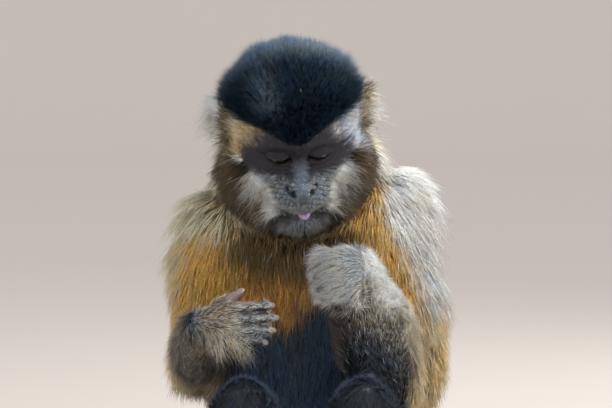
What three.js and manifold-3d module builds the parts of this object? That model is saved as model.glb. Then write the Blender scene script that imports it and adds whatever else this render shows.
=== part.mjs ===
// A tufted capuchin monkey, life size, sitting on its haunches with its head bowed over its raised left hand.
// Millimetres, +Z up. The animal faces -Y and its left is +X. The origin is the middle of the flat it sits on.
// Every outline is that of the coat, out to the tips of the hair.
import * as THREE from "three";
import { ParametricGeometry } from "three/addons/geometries/ParametricGeometry.js";
import { mergeVertices } from "three/addons/utils/BufferGeometryUtils.js";
import Module from "manifold-3d";

const wasm = await Module();
wasm.setup();

const V = (x, y, z) => new THREE.Vector3(x, y, z);
const X = V(1, 0, 0);
const Z = V(0, 0, 1);

// ---- Driving dimensions ----
const GAP = 0.3; // between neighbouring parts
const RIGHT = -1;
const LEFT = 1;

const HEAD = { centre: V(-5.9, -66, 287), bow: 38, tilt: -2.5, turn: 5 }; // degrees of nodding, leaning and turning left
const EYE = { x: 13.6, forward: 25, up: 1, radius: 8.6, lid: 1.5 };
const NECK_CUT = { at: V(0, -10, 240), normal: V(0, -0.42, 0.91).normalize() };

// Joints of the limbs, each given for the side that it is on.
const LEFT_ARM = {
  shoulder: V(58, -16, 220),
  elbow: V(69, -46, 115),
  forearm: V(53, -58, 110), // where the forearm starts, with the loose skin and hair that hang from it
  wrist: V(37, -85, 188),
  along: V(-28, -9, 2), // from wrist to knuckles
  back: V(0.05, -0.92, 0.4), // the way that the back of the hand faces
  girth: { shoulder: 38, upper: 30, elbow: 25, fore: 29, wrist: 19 },
};
const RIGHT_ARM = {
  shoulder: V(-57, -18, 207),
  elbow: V(-74, -18, 118),
  wrist: V(-72, -92, 152),
  along: V(24, -15, 4),
  back: V(-0.5, -0.86, 0.1),
  girth: { shoulder: 37, upper: 28, elbow: 21, fore: 19, wrist: 13 },
};
const LEG = { hip: V(38, -10, 45), knee: V(40, -114, 105), ankle: V(37, -68, 16) };
const ANKLE_CUT = 23; // height at which shin and foot part

const LEG_GIRTH = { hip: 40, thigh: 34, knee: 21, calf: 20, ankle: 14 };

// Trunk and neck, from seat to nape: distance behind the origin, height, half-width and half-depth.
const TRUNK = [
  [0, -6, 40, 36],
  [0, 26, 58, 52],
  [3, 70, 66, 60],
  [7, 115, 73, 63],
  [8, 158, 76, 62],
  [4, 198, 72, 56],
  [-7, 230, 60, 46],
  [-22, 257, 57, 40],
  [-38, 280, 46, 31],
];

// Tail, from root to tip along the floor: where its centre line runs, its height and its radius.
const TAIL = [
  [0, 12, 46, 15],
  [2, 42, 30, 18],
  [12, 74, 18, 18],
  [42, 97, 16.5, 17.5],
  [88, 90, 15.5, 17],
  [124, 50, 15, 16.5],
  [136, -8, 14.5, 16],
  [130, -66, 13.5, 15],
  [114, -112, 12, 13],
  [98, -138, 10, 11],
  [89, -150, 7, 6],
];
const TAIL_LENGTHS = 4;

// ---- Solids ----

// A closed geometry as a solid. Triangles that shrink to nothing at a pole are dropped.
function solid(geometry) {
  const bare = new THREE.BufferGeometry();
  bare.setAttribute("position", geometry.getAttribute("position"));
  bare.setIndex(geometry.index);
  const merged = mergeVertices(bare, 1e-3);
  const corners = merged.index.array;
  const kept = [];
  for (let i = 0; i < corners.length; i += 3) {
    const [a, b, c] = corners.slice(i, i + 3);
    if (a !== b && b !== c && c !== a) kept.push(a, b, c);
  }
  return new wasm.Manifold(
    new wasm.Mesh({
      numProp: 3,
      vertProperties: merged.getAttribute("position").array,
      triVerts: new Uint32Array(kept),
    }),
  );
}

const floorTrim = (body) => body.trimByPlane(Z.toArray(), 0);
const union = (solids) => solids.reduce((all, one) => all.add(one));
const without = (body, cutters) => cutters.reduce((rest, cutter) => rest.subtract(cutter), body);

// The biggest piece of a body that a cut may have left in several.
const biggest = (body) => body.decompose().reduce((big, one) => (one.volume() > big.volume() ? one : big));

// Keeps the side of a plane that its normal points to, less half the gap.
const keepAbove = (body, at, normal) => body.trimByPlane(normal.toArray(), normal.dot(at) + GAP / 2);
const keepBelow = (body, at, normal) => keepAbove(body, at, normal.clone().negate());

// The plane that halves the bend at a joint. Its normal points to the side of `from`.
function mitre(from, joint, to) {
  const inward = from.clone().sub(joint).normalize();
  const outward = to.clone().sub(joint).normalize();
  return inward.sub(outward).normalize();
}

// ---- Shapes ----

const END_RINGS = 0.85; // how much closer the rings of a loft are at its ends than at its middle, 0 to 1

// A smooth body of oval sections along a curved centre line. Each knot holds its point, half-width and half-depth;
// the width runs near `across`. Both ends are round over the share `round` of the length. `cut` keeps the stretch
// between two shares of the length, with flat ends.
function loft(knots, { sides = 14, rings = 10, across = X, round = 0.15, grow = 0, cut = null } = {}) {
  const line = new THREE.CatmullRomCurve3(knots.map((k) => k.at));
  const sizes = new THREE.CatmullRomCurve3(knots.map((k) => V(k.wide + grow, (k.deep ?? k.wide) + grow, 0)));
  const shape = (u, v, target) => {
    const flat = THREE.MathUtils.clamp((v * rings - 1) / (rings - 2), 0, 1);
    const s = cut
      ? THREE.MathUtils.lerp(cut[0], cut[1], flat)
      : v - (END_RINGS * Math.sin(2 * Math.PI * v)) / (2 * Math.PI);
    const fromEnd = Math.min(1, Math.min(s, 1 - s) / round);
    const rounded = Math.sqrt(Math.max(0, 1 - (1 - fromEnd) ** 2));
    const swell = cut ? Math.ceil(v * (1 - v)) : rounded;
    const t = line.getUtoTmapping(s);
    const along = line.getTangent(t);
    const side = across.clone().addScaledVector(along, -across.dot(along)).normalize();
    const depth = V(0, 0, 0).crossVectors(along, side);
    const size = sizes.getPoint(t);
    const angle = 2 * Math.PI * (u % 1);
    target.copy(line.getPoint(t));
    target.addScaledVector(along, -grow * Math.cos(Math.PI * s));
    target.addScaledVector(side, size.x * swell * Math.cos(angle));
    target.addScaledVector(depth, size.y * swell * Math.sin(angle));
  };
  return solid(new ParametricGeometry(shape, sides, rings));
}

// A limb's stretch from one joint to the next, with a round end about each joint. Girths are radii along it.
function stretch(from, to, girths, options = {}) {
  const along = to.clone().sub(from);
  const length = along.length();
  const first = girths[0];
  const last = girths[girths.length - 1];
  const total = length + first + last;
  const point = (distance) => from.clone().addScaledVector(along, distance / length);
  const knots = [{ at: point(-first), wide: first }];
  girths.forEach((wide, i) => knots.push({ at: point((length * i) / (girths.length - 1)), wide }));
  knots.push({ at: point(length + last), wide: last });
  return loft(knots, { round: (0.55 * (first + last)) / total, ...options });
}

// How far an ellipsoid reaches from `from` in a direction, or 0 where the direction misses it.
function reach(from, direction, { at, size }) {
  const scale = V(1 / size.x, 1 / size.y, 1 / size.z);
  const start = from.clone().sub(at).multiply(scale);
  const step = direction.clone().multiply(scale);
  const a = step.lengthSq();
  const b = start.dot(step);
  const c = start.lengthSq() - 1;
  const inside = b * b - a * c;
  return inside < 0 ? 0 : Math.max(0, (-b + Math.sqrt(inside)) / a);
}

// ---- Head, in its own frame: face to -Y, crown to +Z ----

const headFrame = new THREE.Group();
headFrame.position.copy(HEAD.centre);
headFrame.rotation.set(...[HEAD.bow, HEAD.tilt, HEAD.turn].map(THREE.MathUtils.degToRad), "YXZ");
headFrame.updateMatrixWorld(true);

const HEAD_MIDDLE = V(0, -6, -10);
const MUZZLE_WAY = V(0, -0.94, -0.34);
const HEAD_SIDES = 28; // a multiple of 4, so that a column of points lies above and below the middle
const HEAD_RINGS = 22;
const HEAD_FORMS = [
  { at: V(0, 9, 12), size: V(54, 47, 46) }, // crown and nape
  { at: V(-28.5, -4, -27), size: V(22.5, 24, 42) }, // right whisker
  { at: V(28.5, -4, -27), size: V(22.5, 24, 42) }, // left whisker
  { at: V(0, -17, -57), size: V(38, 22, 20) }, // beard and throat
  { at: V(0, -20, 9), size: V(33, 20.5, 15) }, // brow
  { at: V(0, -15, -19), size: V(33, 21, 36) }, // cheeks
  { at: V(0, -27, -32), size: V(24, 22, 17) }, // muzzle
  { at: V(0, -26, -50), size: V(19, 19, 13) }, // chin
  { at: V(0, -31, -11), size: V(7.5, 9.5, 17) }, // bridge of the nose
  { at: V(0, -42.5, -22), size: V(9.5, 7, 7) }, // nose
];
const BLEND = 3.2; // width of the blend where the forms meet
const SOCKET = { spread: 9, deep: 4 };

const eyeAt = (side) => V(side * EYE.x, -EYE.forward, EYE.up);

function headShape(grow = 0) {
  const upward = V(0, 0, 0).crossVectors(X, MUZZLE_WAY).normalize();
  const lids = [RIGHT, LEFT].map((side) => {
    const r = EYE.radius + EYE.lid;
    return { at: eyeAt(side), size: V(r, r, r) };
  });
  const shape = (u, v, target) => {
    const fromMuzzle = Math.PI * v ** 1.3;
    const angle = 2 * Math.PI * (u % 1);
    const way = MUZZLE_WAY.clone().normalize().multiplyScalar(Math.cos(fromMuzzle));
    way.addScaledVector(X, Math.sin(fromMuzzle) * Math.cos(angle));
    way.addScaledVector(upward, Math.sin(fromMuzzle) * Math.sin(angle));
    const terms = HEAD_FORMS.map((form) => Math.exp(reach(HEAD_MIDDLE, way, form) / BLEND));
    let distance = BLEND * Math.log(terms.reduce((sum, term) => sum + term, 0));
    for (const lid of lids) {
      const off = way.angleTo(lid.at.clone().sub(HEAD_MIDDLE)) * distance;
      distance -= SOCKET.deep * Math.exp(-((off / SOCKET.spread) ** 2));
    }
    for (const lid of lids) distance = Math.max(distance, reach(HEAD_MIDDLE, way, lid));
    target.copy(HEAD_MIDDLE).addScaledVector(way, distance + grow);
  };
  const geometry = new ParametricGeometry(shape, HEAD_SIDES, HEAD_RINGS);
  mirrorCells(geometry.index.array);
  return solid(geometry);
}

// Splits the grid's cells on the right half along their other diagonal, so that both halves are alike.
function mirrorCells(index) {
  for (let i = 0; i < index.length; i += 6) {
    const [a, b, d, , c] = index.slice(i, i + 6);
    const column = (i / 6) % HEAD_SIDES;
    if (column >= HEAD_SIDES / 4 && column < (3 * HEAD_SIDES) / 4) index.set([a, b, c, a, c, d], i);
  }
}

// An ellipsoid with as many sides as its size asks for, turned about X by `nod` degrees.
function ball(at, size, nod = 0, sides = 10) {
  const sphere = new THREE.SphereGeometry(1, sides, Math.round(sides * 0.7));
  sphere.scale(size.x, size.y, size.z);
  sphere.rotateX(THREE.MathUtils.degToRad(nod));
  sphere.translate(at.x, at.y, at.z);
  return solid(sphere);
}

// ---- Hands and feet ----

// A palm or sole with its digits, in the frame of its wrist: `along` to the fingers, `back` out of the hand's back.
// Each digit leaves the palm at its share across it, and each of its bones turns further towards the palm.
function paw({ wrist, along, back, palm, digits, thumb, sides = 6 }) {
  const across = V(0, 0, 0).crossVectors(back, along).normalize().multiplyScalar(thumb.side);
  const place = (forward, aside, out) =>
    wrist.clone().addScaledVector(along, forward).addScaledVector(across, aside).addScaledVector(back, out);
  const pieces = [
    loft(
      palm.knots.map(([forward, aside, out, wide, deep]) => ({ at: place(forward, aside, out), wide, deep })),
      { sides: 10, rings: 6, across, round: 0.2 },
    ),
  ];
  const digit = (base, heading, bend, bones, curls, girths) => {
    const way = heading.clone();
    const knots = [{ at: base.clone().addScaledVector(way, -6), wide: girths[0] }];
    let at = base;
    bones.forEach((bone, i) => {
      knots.push({ at, wide: girths[i] });
      way.applyAxisAngle(bend, THREE.MathUtils.degToRad(curls[i]));
      at = at.clone().addScaledVector(way, bone);
    });
    knots.push({ at, wide: girths[bones.length] });
    return loft(knots, { sides, rings: 6, across: across.clone().add(back), round: 0.12 });
  };
  const curlAxis = V(0, 0, 0).crossVectors(along, back).normalize().negate();
  for (const { aside, splay, scale, curls } of digits.each) {
    const heading = along.clone().applyAxisAngle(back, THREE.MathUtils.degToRad(splay * thumb.side));
    pieces.push(
      digit(
        place(digits.from, aside, digits.out),
        heading,
        curlAxis,
        digits.bones.map((bone) => bone * scale),
        curls,
        digits.girths,
      ),
    );
  }
  const thumbWay = along.clone().multiplyScalar(thumb.way[0]);
  thumbWay.addScaledVector(across, thumb.way[1]).addScaledVector(back, thumb.way[2]).normalize();
  pieces.push(digit(place(...thumb.base), thumbWay, curlAxis, thumb.bones, thumb.curls, thumb.girths));
  return union(pieces);
}

// Two directions made square to each other, the first kept as it is.
function square(along, back) {
  const a = along.clone().normalize();
  const b = back.clone().addScaledVector(a, -back.dot(a)).normalize();
  return { along: a, back: b };
}

const HAND_PALM = {
  knots: [
    [-10, 0, 0, 11, 9],
    [2, 0, 0, 12.5, 9],
    [14, 0, 0, 15, 9],
    [26, 0, 0, 15.5, 8.5],
    [34, 0, -1, 14, 7],
  ],
};
const FINGERS = { from: 29, out: 0, bones: [13, 9, 7], girths: [4.8, 4.5, 4.1, 3.4] };
const finger = (aside, splay, scale, curls) => ({ aside, splay, scale, curls });

// The right hand lies across the belly with its back to the front and its fingers together.
const rightHand = () =>
  paw({
    wrist: RIGHT_ARM.wrist,
    ...square(RIGHT_ARM.along, RIGHT_ARM.back),
    palm: HAND_PALM,
    digits: {
      ...FINGERS,
      each: [
        finger(11.5, 0, 1.05, [40, 22, 8]),
        finger(3.8, -1, 1.12, [42, 16, 10]),
        finger(-3.6, -3, 1.05, [44, 18, 10]),
        finger(-10.6, -6, 0.85, [46, 20, 12]),
      ],
    },
    thumb: { side: 1, base: [17, 13, -2], way: [0.86, 0.45, -0.25], bones: [11, 9], curls: [8, 10], girths: [5.2, 4.8, 4] },
  });

// The left hand is a loose fist below the chin, its back to the front and its fingers curled towards the chest.
const leftHand = () =>
  paw({
    wrist: LEFT_ARM.wrist,
    ...square(LEFT_ARM.along, LEFT_ARM.back),
    palm: {
      knots: [
        [-11, 0, 0, 18, 13],
        [-2, 0, 1, 21.5, 16],
        [8, 0, 1, 23, 16.5],
        [16, 0, 0, 21.5, 14],
        [23, 0, -2, 17, 10],
      ],
    },
    digits: {
      ...FINGERS,
      from: 17,
      each: [
        finger(12, 2, 0.95, [62, 70, 48]),
        finger(4, 0, 1, [64, 72, 48]),
        finger(-4, -2, 0.95, [66, 72, 48]),
        finger(-11.5, -4, 0.8, [70, 70, 48]),
      ],
    },
    thumb: { side: -1, base: [9, 13, -8], way: [0.72, 0.42, -0.55], bones: [12, 10], curls: [12, 14], girths: [5.6, 5.2, 4.4] },
  });

const foot = (side) =>
  paw({
    sides: 5,
    wrist: V(side * LEG.ankle.x, LEG.ankle.y, 8),
    ...square(V(side * 0.12, -1, 0), Z),
    palm: {
      knots: [
        [-22, 0, 0, 12, 11],
        [-8, 0, 2, 13.5, 14],
        [8, 0, 3, 14, 15],
        [26, 0, 0, 15, 11],
        [42, 0, -1.5, 16.5, 8.5],
        [54, 0, -2.5, 14.5, 6.5],
      ],
    },
    digits: {
      from: 47,
      out: -3,
      bones: [19, 14, 11],
      girths: [5.6, 5.4, 5, 4.2],
      each: [
        finger(11, 3, 0.95, [-6, 8, 8]),
        finger(3.5, 0, 1.05, [-6, 8, 8]),
        finger(-4, -3, 1, [-6, 8, 8]),
        finger(-11, -7, 0.85, [-6, 8, 8]),
      ],
    },
    thumb: {
      side: -side,
      base: [26, 12, -3],
      way: [0.72, 0.66, -0.02],
      bones: [15, 13],
      curls: [2, 4],
      girths: [6.2, 5.8, 4.8],
    },
  });

// ---- The parts ----

const trunkKnots = TRUNK.map(([y, z, wide, deep]) => ({ at: V(0, y, z), wide, deep }));
const wholeTrunk = (grow) => loft(trunkKnots, { sides: 18, rings: 13, round: 0.12, grow });

const inHead = (body) => body.transform(headFrame.matrixWorld.elements);
const headCutter = inHead(headShape(GAP));

const socketCutters = [RIGHT, LEFT].map((side) => {
  const r = EYE.radius + GAP;
  const slit = ball(eyeAt(side).add(V(0, -8.6, -2)), V(6.6, 6, 1.7), 0, 8);
  return ball(eyeAt(side), V(r, r, r)).add(slit);
});
const MOUTH = { at: V(0, -34, -42), size: V(21, 17, 1.1) };
const TONGUE = { at: V(0.5, -43.5, -42), size: V(6, 6.5, 2.4) };
const nostrils = [RIGHT, LEFT].map((side) => ball(V(side * 6.6, -48.5, -24), V(1.8, 4, 2.6), 30, 6));
const EAR = { at: V(48.5, 9, -2), size: V(4.5, 13.5, 16.5), turn: 30 }; // thick, long and tall, turned out from the head

function ear(side, grow = 0) {
  const rim = new THREE.SphereGeometry(1, 10, 8);
  rim.scale(EAR.size.x + grow, EAR.size.y + grow, EAR.size.z + grow);
  rim.translate(0, EAR.size.y * 0.6, 0);
  rim.rotateZ(THREE.MathUtils.degToRad(-side * EAR.turn));
  rim.translate(side * EAR.at.x, EAR.at.y, EAR.at.z);
  return solid(rim);
}

const headParts = {
  head: without(headShape(), [
    ...socketCutters,
    ball(MOUTH.at, MOUTH.size, 0, 12),
    ball(TONGUE.at, TONGUE.size.clone().addScalar(GAP)),
    ...nostrils,
    ear(RIGHT, GAP),
    ear(LEFT, GAP),
  ]),
  tongue: ball(TONGUE.at, TONGUE.size),
  ear_right: ear(RIGHT),
  ear_left: ear(LEFT),
  eye_right: ball(eyeAt(RIGHT), V(1, 1, 1).multiplyScalar(EYE.radius)),
  eye_left: ball(eyeAt(LEFT), V(1, 1, 1).multiplyScalar(EYE.radius)),
};

function arm({ shoulder, elbow, forearm = elbow, wrist, along, girth: g }, hand) {
  const bend = mitre(shoulder, elbow, wrist);
  const wristCut = mitre(elbow, wrist, wrist.clone().add(along));
  const upper = (grow) => stretch(shoulder, elbow, [g.shoulder, g.upper, g.elbow], { sides: 14, rings: 10, grow });
  const fore = (grow) => stretch(forearm, wrist, [g.elbow, g.fore, g.wrist], { sides: 14, rings: 9, grow });
  return {
    upper: keepAbove(upper(0), elbow, bend),
    fore: keepAbove(keepBelow(fore(0), elbow, bend), wrist, wristCut),
    hand: keepBelow(hand, wrist, wristCut),
    cutters: [upper(GAP), fore(GAP)],
  };
}

function leg(side) {
  const [hip, knee, ankle] = [LEG.hip, LEG.knee, LEG.ankle].map((p) => V(side * p.x, p.y, p.z));
  const g = LEG_GIRTH;
  const bend = mitre(hip, knee, ankle);
  const thigh = stretch(hip, knee, [g.hip, g.thigh, g.knee], { sides: 16, rings: 9 });
  const shin = stretch(knee, ankle, [g.knee, g.calf, g.ankle], { sides: 12, rings: 8 });
  const ankleCut = V(0, 0, ANKLE_CUT);
  return {
    thigh: keepAbove(thigh, knee, bend),
    shin: keepAbove(keepBelow(shin, knee, bend), ankleCut, Z),
    foot: keepBelow(floorTrim(foot(side)), ankleCut, Z),
  };
}

const tailKnots = TAIL.map(([x, y, z, wide]) => ({ at: V(x, y, z), wide }));

// One of the equal lengths of the tail, counted from the root.
function tailLength(index) {
  const line = new THREE.CatmullRomCurve3(tailKnots.map((k) => k.at));
  const gap = GAP / line.getLength();
  const from = index === 0 ? 0 : index / TAIL_LENGTHS + gap / 2;
  const to = index === TAIL_LENGTHS - 1 ? 1 : (index + 1) / TAIL_LENGTHS - gap / 2;
  return floorTrim(loft(tailKnots, { sides: 10, rings: 7, across: Z, cut: [from, to] }));
}

const rightArm = arm(RIGHT_ARM, rightHand());
const leftArm = arm(LEFT_ARM, leftHand());
const rightLeg = leg(RIGHT);
const leftLeg = leg(LEFT);
const armCutters = [...rightArm.cutters, ...leftArm.cutters];
const trunkCutter = wholeTrunk(GAP);

const bodyParts = {
  trunk: floorTrim(without(keepBelow(wholeTrunk(0), NECK_CUT.at, NECK_CUT.normal), [...armCutters, headCutter])),
  neck: biggest(without(keepAbove(wholeTrunk(0), NECK_CUT.at, NECK_CUT.normal), [...armCutters, headCutter])),
  upper_arm_right: without(rightArm.upper, [headCutter]),
  forearm_right: rightArm.fore,
  hand_right: rightArm.hand,
  upper_arm_left: without(leftArm.upper, [headCutter]),
  forearm_left: leftArm.fore,
  hand_left: without(leftArm.hand, [headCutter]),
  thigh_right: floorTrim(without(rightLeg.thigh, [trunkCutter, ...rightArm.cutters])),
  shin_right: rightLeg.shin,
  foot_right: rightLeg.foot,
  thigh_left: floorTrim(without(leftLeg.thigh, [trunkCutter, ...leftArm.cutters])),
  shin_left: leftLeg.shin,
  foot_left: leftLeg.foot,
};
for (let i = 0; i < TAIL_LENGTHS; i++) {
  bodyParts[`tail_${i + 1}`] = without(tailLength(i), [trunkCutter]);
}

// ---- Materials and scene ----

const finish = (color, roughness) => new THREE.MeshStandardMaterial({ color, roughness, metalness: 0 });
const FINISHES = {
  cap: finish(0x1b1a1c, 0.8),
  chest: finish(0xb9782f, 0.85),
  back: finish(0x8f8263, 0.85),
  limb: finish(0x4b4238, 0.85),
  hand: finish(0x9b9484, 0.8),
  leg: finish(0x25252a, 0.85),
  tail: finish(0x2c2824, 0.85),
  ear: finish(0x6d5a50, 0.7),
  eye: finish(0x1c0f08, 0.15),
  tongue: finish(0xb56a78, 0.35),
};

const FINISH_OF = {
  head: "cap",
  tongue: "tongue",
  ear_right: "ear",
  ear_left: "ear",
  eye_right: "eye",
  eye_left: "eye",
  trunk: "back",
  neck: "chest",
  upper_arm_right: "chest",
  upper_arm_left: "chest",
  forearm_right: "limb",
  forearm_left: "limb",
  hand_right: "hand",
  hand_left: "hand",
};
const finishOf = (name) => {
  if (name in FINISH_OF) return FINISHES[FINISH_OF[name]];
  return name.startsWith("tail") ? FINISHES.tail : FINISHES.leg;
};

// A solid as a named mesh in its group. Its geometry is in the group's own frame.
function place(name, body, group) {
  const { numProp, vertProperties, triVerts } = body.getMesh();
  const geometry = new THREE.BufferGeometry();
  const positions = new THREE.InterleavedBuffer(vertProperties, numProp);
  geometry.setAttribute("position", new THREE.InterleavedBufferAttribute(positions, 3, 0));
  geometry.setIndex(new THREE.BufferAttribute(triVerts, 1));
  const mesh = new THREE.Mesh(geometry.toNonIndexed(), finishOf(name));
  mesh.geometry.computeVertexNormals();
  mesh.name = name;
  group.add(mesh);
}

const capuchin = new THREE.Group();
capuchin.add(headFrame);
for (const [name, body] of Object.entries(headParts)) place(name, body, headFrame);
for (const [name, body] of Object.entries(bodyParts)) place(name, body, capuchin);

export default capuchin;
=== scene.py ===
"""A tufted capuchin monkey, life size and still: skin, coat, eyes, tongue and nails over its solid frame.

Shapes are worked out in millimetres as whole numpy arrays, and made into meshes in metres.
+Z is up, the animal faces -Y and its left is +X.
"""

import math

import bpy
import numpy as np
from bpy.props import CollectionProperty, FloatProperty, FloatVectorProperty, PointerProperty
from bpy.types import Operator, Panel, PropertyGroup
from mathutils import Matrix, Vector


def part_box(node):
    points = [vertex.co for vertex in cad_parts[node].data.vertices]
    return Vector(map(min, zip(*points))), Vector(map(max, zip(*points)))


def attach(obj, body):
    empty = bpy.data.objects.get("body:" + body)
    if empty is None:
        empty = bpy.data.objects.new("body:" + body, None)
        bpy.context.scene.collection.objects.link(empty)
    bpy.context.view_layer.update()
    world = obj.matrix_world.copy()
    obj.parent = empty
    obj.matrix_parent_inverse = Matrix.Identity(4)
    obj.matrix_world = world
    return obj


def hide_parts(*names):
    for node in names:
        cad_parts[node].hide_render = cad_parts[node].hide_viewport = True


bl_info = {
    "name": "Capuchin monkey",
    "version": (1, 0, 0),
    "blender": (4, 5, 0),
    "location": "View3D > Sidebar > Capuchin",
    "description": "A life-size sitting capuchin monkey: skin, coat, eyes, tongue and nails over its frame",
    "category": "Object",
}

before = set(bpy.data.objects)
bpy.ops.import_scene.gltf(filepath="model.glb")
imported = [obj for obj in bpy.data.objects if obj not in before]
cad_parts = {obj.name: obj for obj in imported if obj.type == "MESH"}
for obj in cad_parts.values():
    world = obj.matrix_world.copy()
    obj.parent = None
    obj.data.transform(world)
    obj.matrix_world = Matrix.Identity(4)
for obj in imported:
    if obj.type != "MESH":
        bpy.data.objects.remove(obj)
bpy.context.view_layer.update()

MM = 0.001
TINY = 1e-9  # keeps a divisor above nothing
SIDES = {"right": -1, "left": 1}


# ---- Arithmetic ----


def unit(ways):
    """Vectors scaled to a length of 1."""
    ways = np.asarray(ways, float)
    return ways / np.maximum(np.linalg.norm(ways, axis=-1, keepdims=True), TINY)


def vectors(*parts):
    """Vectors from their three parts, each of them one number or an array."""
    return np.stack(np.broadcast_arrays(*parts), -1)


def without(ways, normals):
    """Vectors without what runs along the normals: v - n (n.v)."""
    return ways - normals * np.einsum("ij,ij->i", ways, normals)[:, None]


def rise(low, high, value):
    """0 below low and 1 above high, with a smooth step between: 3t^2 - 2t^3."""
    t = np.clip((value - low) / (high - low), 0, 1)
    return t * t * (3 - 2 * t)


def bell(value, middle, spread):
    """1 at the middle, falling off as exp(-d^2) with distance in units of the spread."""
    return np.exp(-(((value - middle) / spread) ** 2))


def ripple(points, size, seed, layers=3):
    """Smooth noise of about -1 to 1: products of two sine waves, about size long, in random directions."""
    rng = np.random.default_rng(seed)
    total = np.zeros(len(points))
    for _ in range(layers):
        ways = unit(rng.normal(size=(2, 3)))
        turns = 2 * math.pi / (size * rng.uniform(0.7, 1.4))
        waves = np.sin(points @ ways.T * turns + rng.uniform(0, 2 * math.pi, 2))
        total += waves[:, 0] * waves[:, 1]
    return total / math.sqrt(layers)


def turned(vector, axis, degrees):
    """A vector turned about an axis: v cos a + (k x v) sin a + k (k.v)(1 - cos a)."""
    angle = math.radians(degrees)
    axis = unit(axis)
    swung = np.cross(axis, vector) * math.sin(angle)
    return vector * math.cos(angle) + swung + axis * (axis @ vector) * (1 - math.cos(angle))


def crowded(high, count, density):
    """Values from 0 to high, spaced as the inverse of a density, by inverting its running sum."""
    fine = np.linspace(0, high, 2000)
    total = np.cumsum(density(fine))
    total = (total - total[0]) / (total[-1] - total[0])
    return np.interp(np.linspace(0, 1, count), total, fine)


def eased(last, count):
    """From 0 to last, closer together at both ends: last (t - sin(2 pi t) / (4 pi)), with t from 0 to 1."""
    share = np.linspace(0, 1, count)
    return last * (share - np.sin(2 * math.pi * share) / (4 * math.pi))


def spline(knots, at):
    """Points of a Catmull-Rom curve through the knots, at places that are counted in knots."""
    knots = np.asarray(knots, float)
    padded = np.concatenate([[2 * knots[0] - knots[1]], knots, [2 * knots[-1] - knots[-2]]])
    first = np.minimum(at.astype(int), len(knots) - 2)
    t = (at - first)[:, None]
    a, b, c, d = (padded[first + i] for i in range(4))
    return 0.5 * (2 * b + (c - a) * t + (2 * a - 5 * b + 4 * c - d) * t**2 + (3 * b - a - 3 * c + d) * t**3)


# ---- Meshes ----


def mesh_object(name, points, *faces):
    """A mesh of points in millimetres and arrays of faces, each array with faces of one corner count."""
    mesh = bpy.data.meshes.new(name)
    corners = np.concatenate([f.ravel() for f in faces]).astype(np.int32)
    counts = np.concatenate([np.full(len(f), f.shape[1]) for f in faces])
    starts = np.concatenate([[0], np.cumsum(counts)[:-1]]).astype(np.int32)
    mesh.vertices.add(len(points))
    mesh.vertices.foreach_set("co", (points * MM).astype(np.float32).ravel())
    mesh.loops.add(len(corners))
    mesh.loops.foreach_set("vertex_index", corners)
    mesh.polygons.add(len(counts))
    mesh.polygons.foreach_set("loop_start", starts)
    mesh.update(calc_edges=True)
    mesh.shade_smooth()
    piece = bpy.data.objects.new(name, mesh)
    bpy.context.scene.collection.objects.link(piece)
    return piece


def read(rows, key, kind=np.float32):
    """A value of three numbers from each row of a mesh's list."""
    flat = np.empty(len(rows) * 3, kind)
    rows.foreach_get(key, flat)
    return flat.reshape(-1, 3)


def points_of(piece):
    """The mesh's points in millimetres."""
    return read(piece.data.vertices, "co").astype(float) / MM


def move_points(piece, points):
    """Moves the mesh's points to places in millimetres."""
    piece.data.vertices.foreach_set("co", (points * MM).astype(np.float32).ravel())
    piece.data.update()


def normals_of(piece):
    """The mesh's normal at each point."""
    return read(piece.data.vertex_normals, "vector").astype(float)


def triangles_of(mesh):
    """The mesh's faces as triangles, each as three numbers of points."""
    mesh.calc_loop_triangles()
    return read(mesh.loop_triangles, "vertices", np.int32)


def shell(grid):
    """A closed surface over a grid of rings: quads between them, and a fan at each end to that ring's
    middle. Corners are reversed where the enclosed volume, the sum of a.(b x c)/6, comes out negative."""
    rings, sides = grid.shape[:2]
    index = np.arange(rings * sides).reshape(rings, sides)
    onward = np.roll(index, -1, axis=1)
    quads = np.stack([index[:-1], onward[:-1], onward[1:], index[1:]], -1).reshape(-1, 4)
    points = np.concatenate([grid.reshape(-1, 3), grid[[0, -1]].mean(axis=1)])
    near = np.stack([onward[0], index[0], np.full(sides, rings * sides)], -1)
    far = np.stack([index[-1], onward[-1], np.full(sides, rings * sides + 1)], -1)
    fans = np.concatenate([near, far])
    tris = np.concatenate([quads[:, :3], quads[:, [0, 2, 3]], fans])
    a, b, c = (points[tris[:, i]] for i in range(3))
    if np.einsum("ij,ij->i", a, np.cross(b, c)).sum() < 0:
        quads, fans = quads[:, ::-1], fans[:, ::-1]
    return points, quads, fans


def tube(middles, wide, deep, across, sides):
    """A closed tube of oval sections along a line of points. Towards each end the sections shrink as a
    circle does, 1 - (1 - d)^2 under the root, where d is the distance from that end in girths."""
    along = unit(np.gradient(middles, axis=0))
    side = unit(across - along * (along @ across)[:, None])
    up = np.cross(along, side)
    steps = np.linalg.norm(np.diff(middles, axis=0), axis=1)
    run = np.concatenate([[0], np.cumsum(steps)])
    girth = (wide[[0, -1]] + deep[[0, -1]]) / 2
    ends = np.minimum(run / girth[0], (run[-1] - run) / girth[1])
    swell = np.sqrt(np.clip(1 - (1 - np.clip(ends, 0.02, 1)) ** 2, 0, 1))
    angle = np.linspace(0, 2 * math.pi, sides, endpoint=False)
    ring = np.cos(angle)[None, :, None] * (side * (wide * swell)[:, None])[:, None]
    ring = ring + np.sin(angle)[None, :, None] * (up * (deep * swell)[:, None])[:, None]
    return shell(middles[:, None] + ring)


def ball_angles(rings, sides):
    """Angles of a ball's points: for each ring from pole to pole, without them, and for each side round."""
    nod = np.linspace(0, math.pi, rings + 2)[1:-1, None]
    turn = np.linspace(0, 2 * math.pi, sides, endpoint=False)[None]
    return nod, turn


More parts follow.
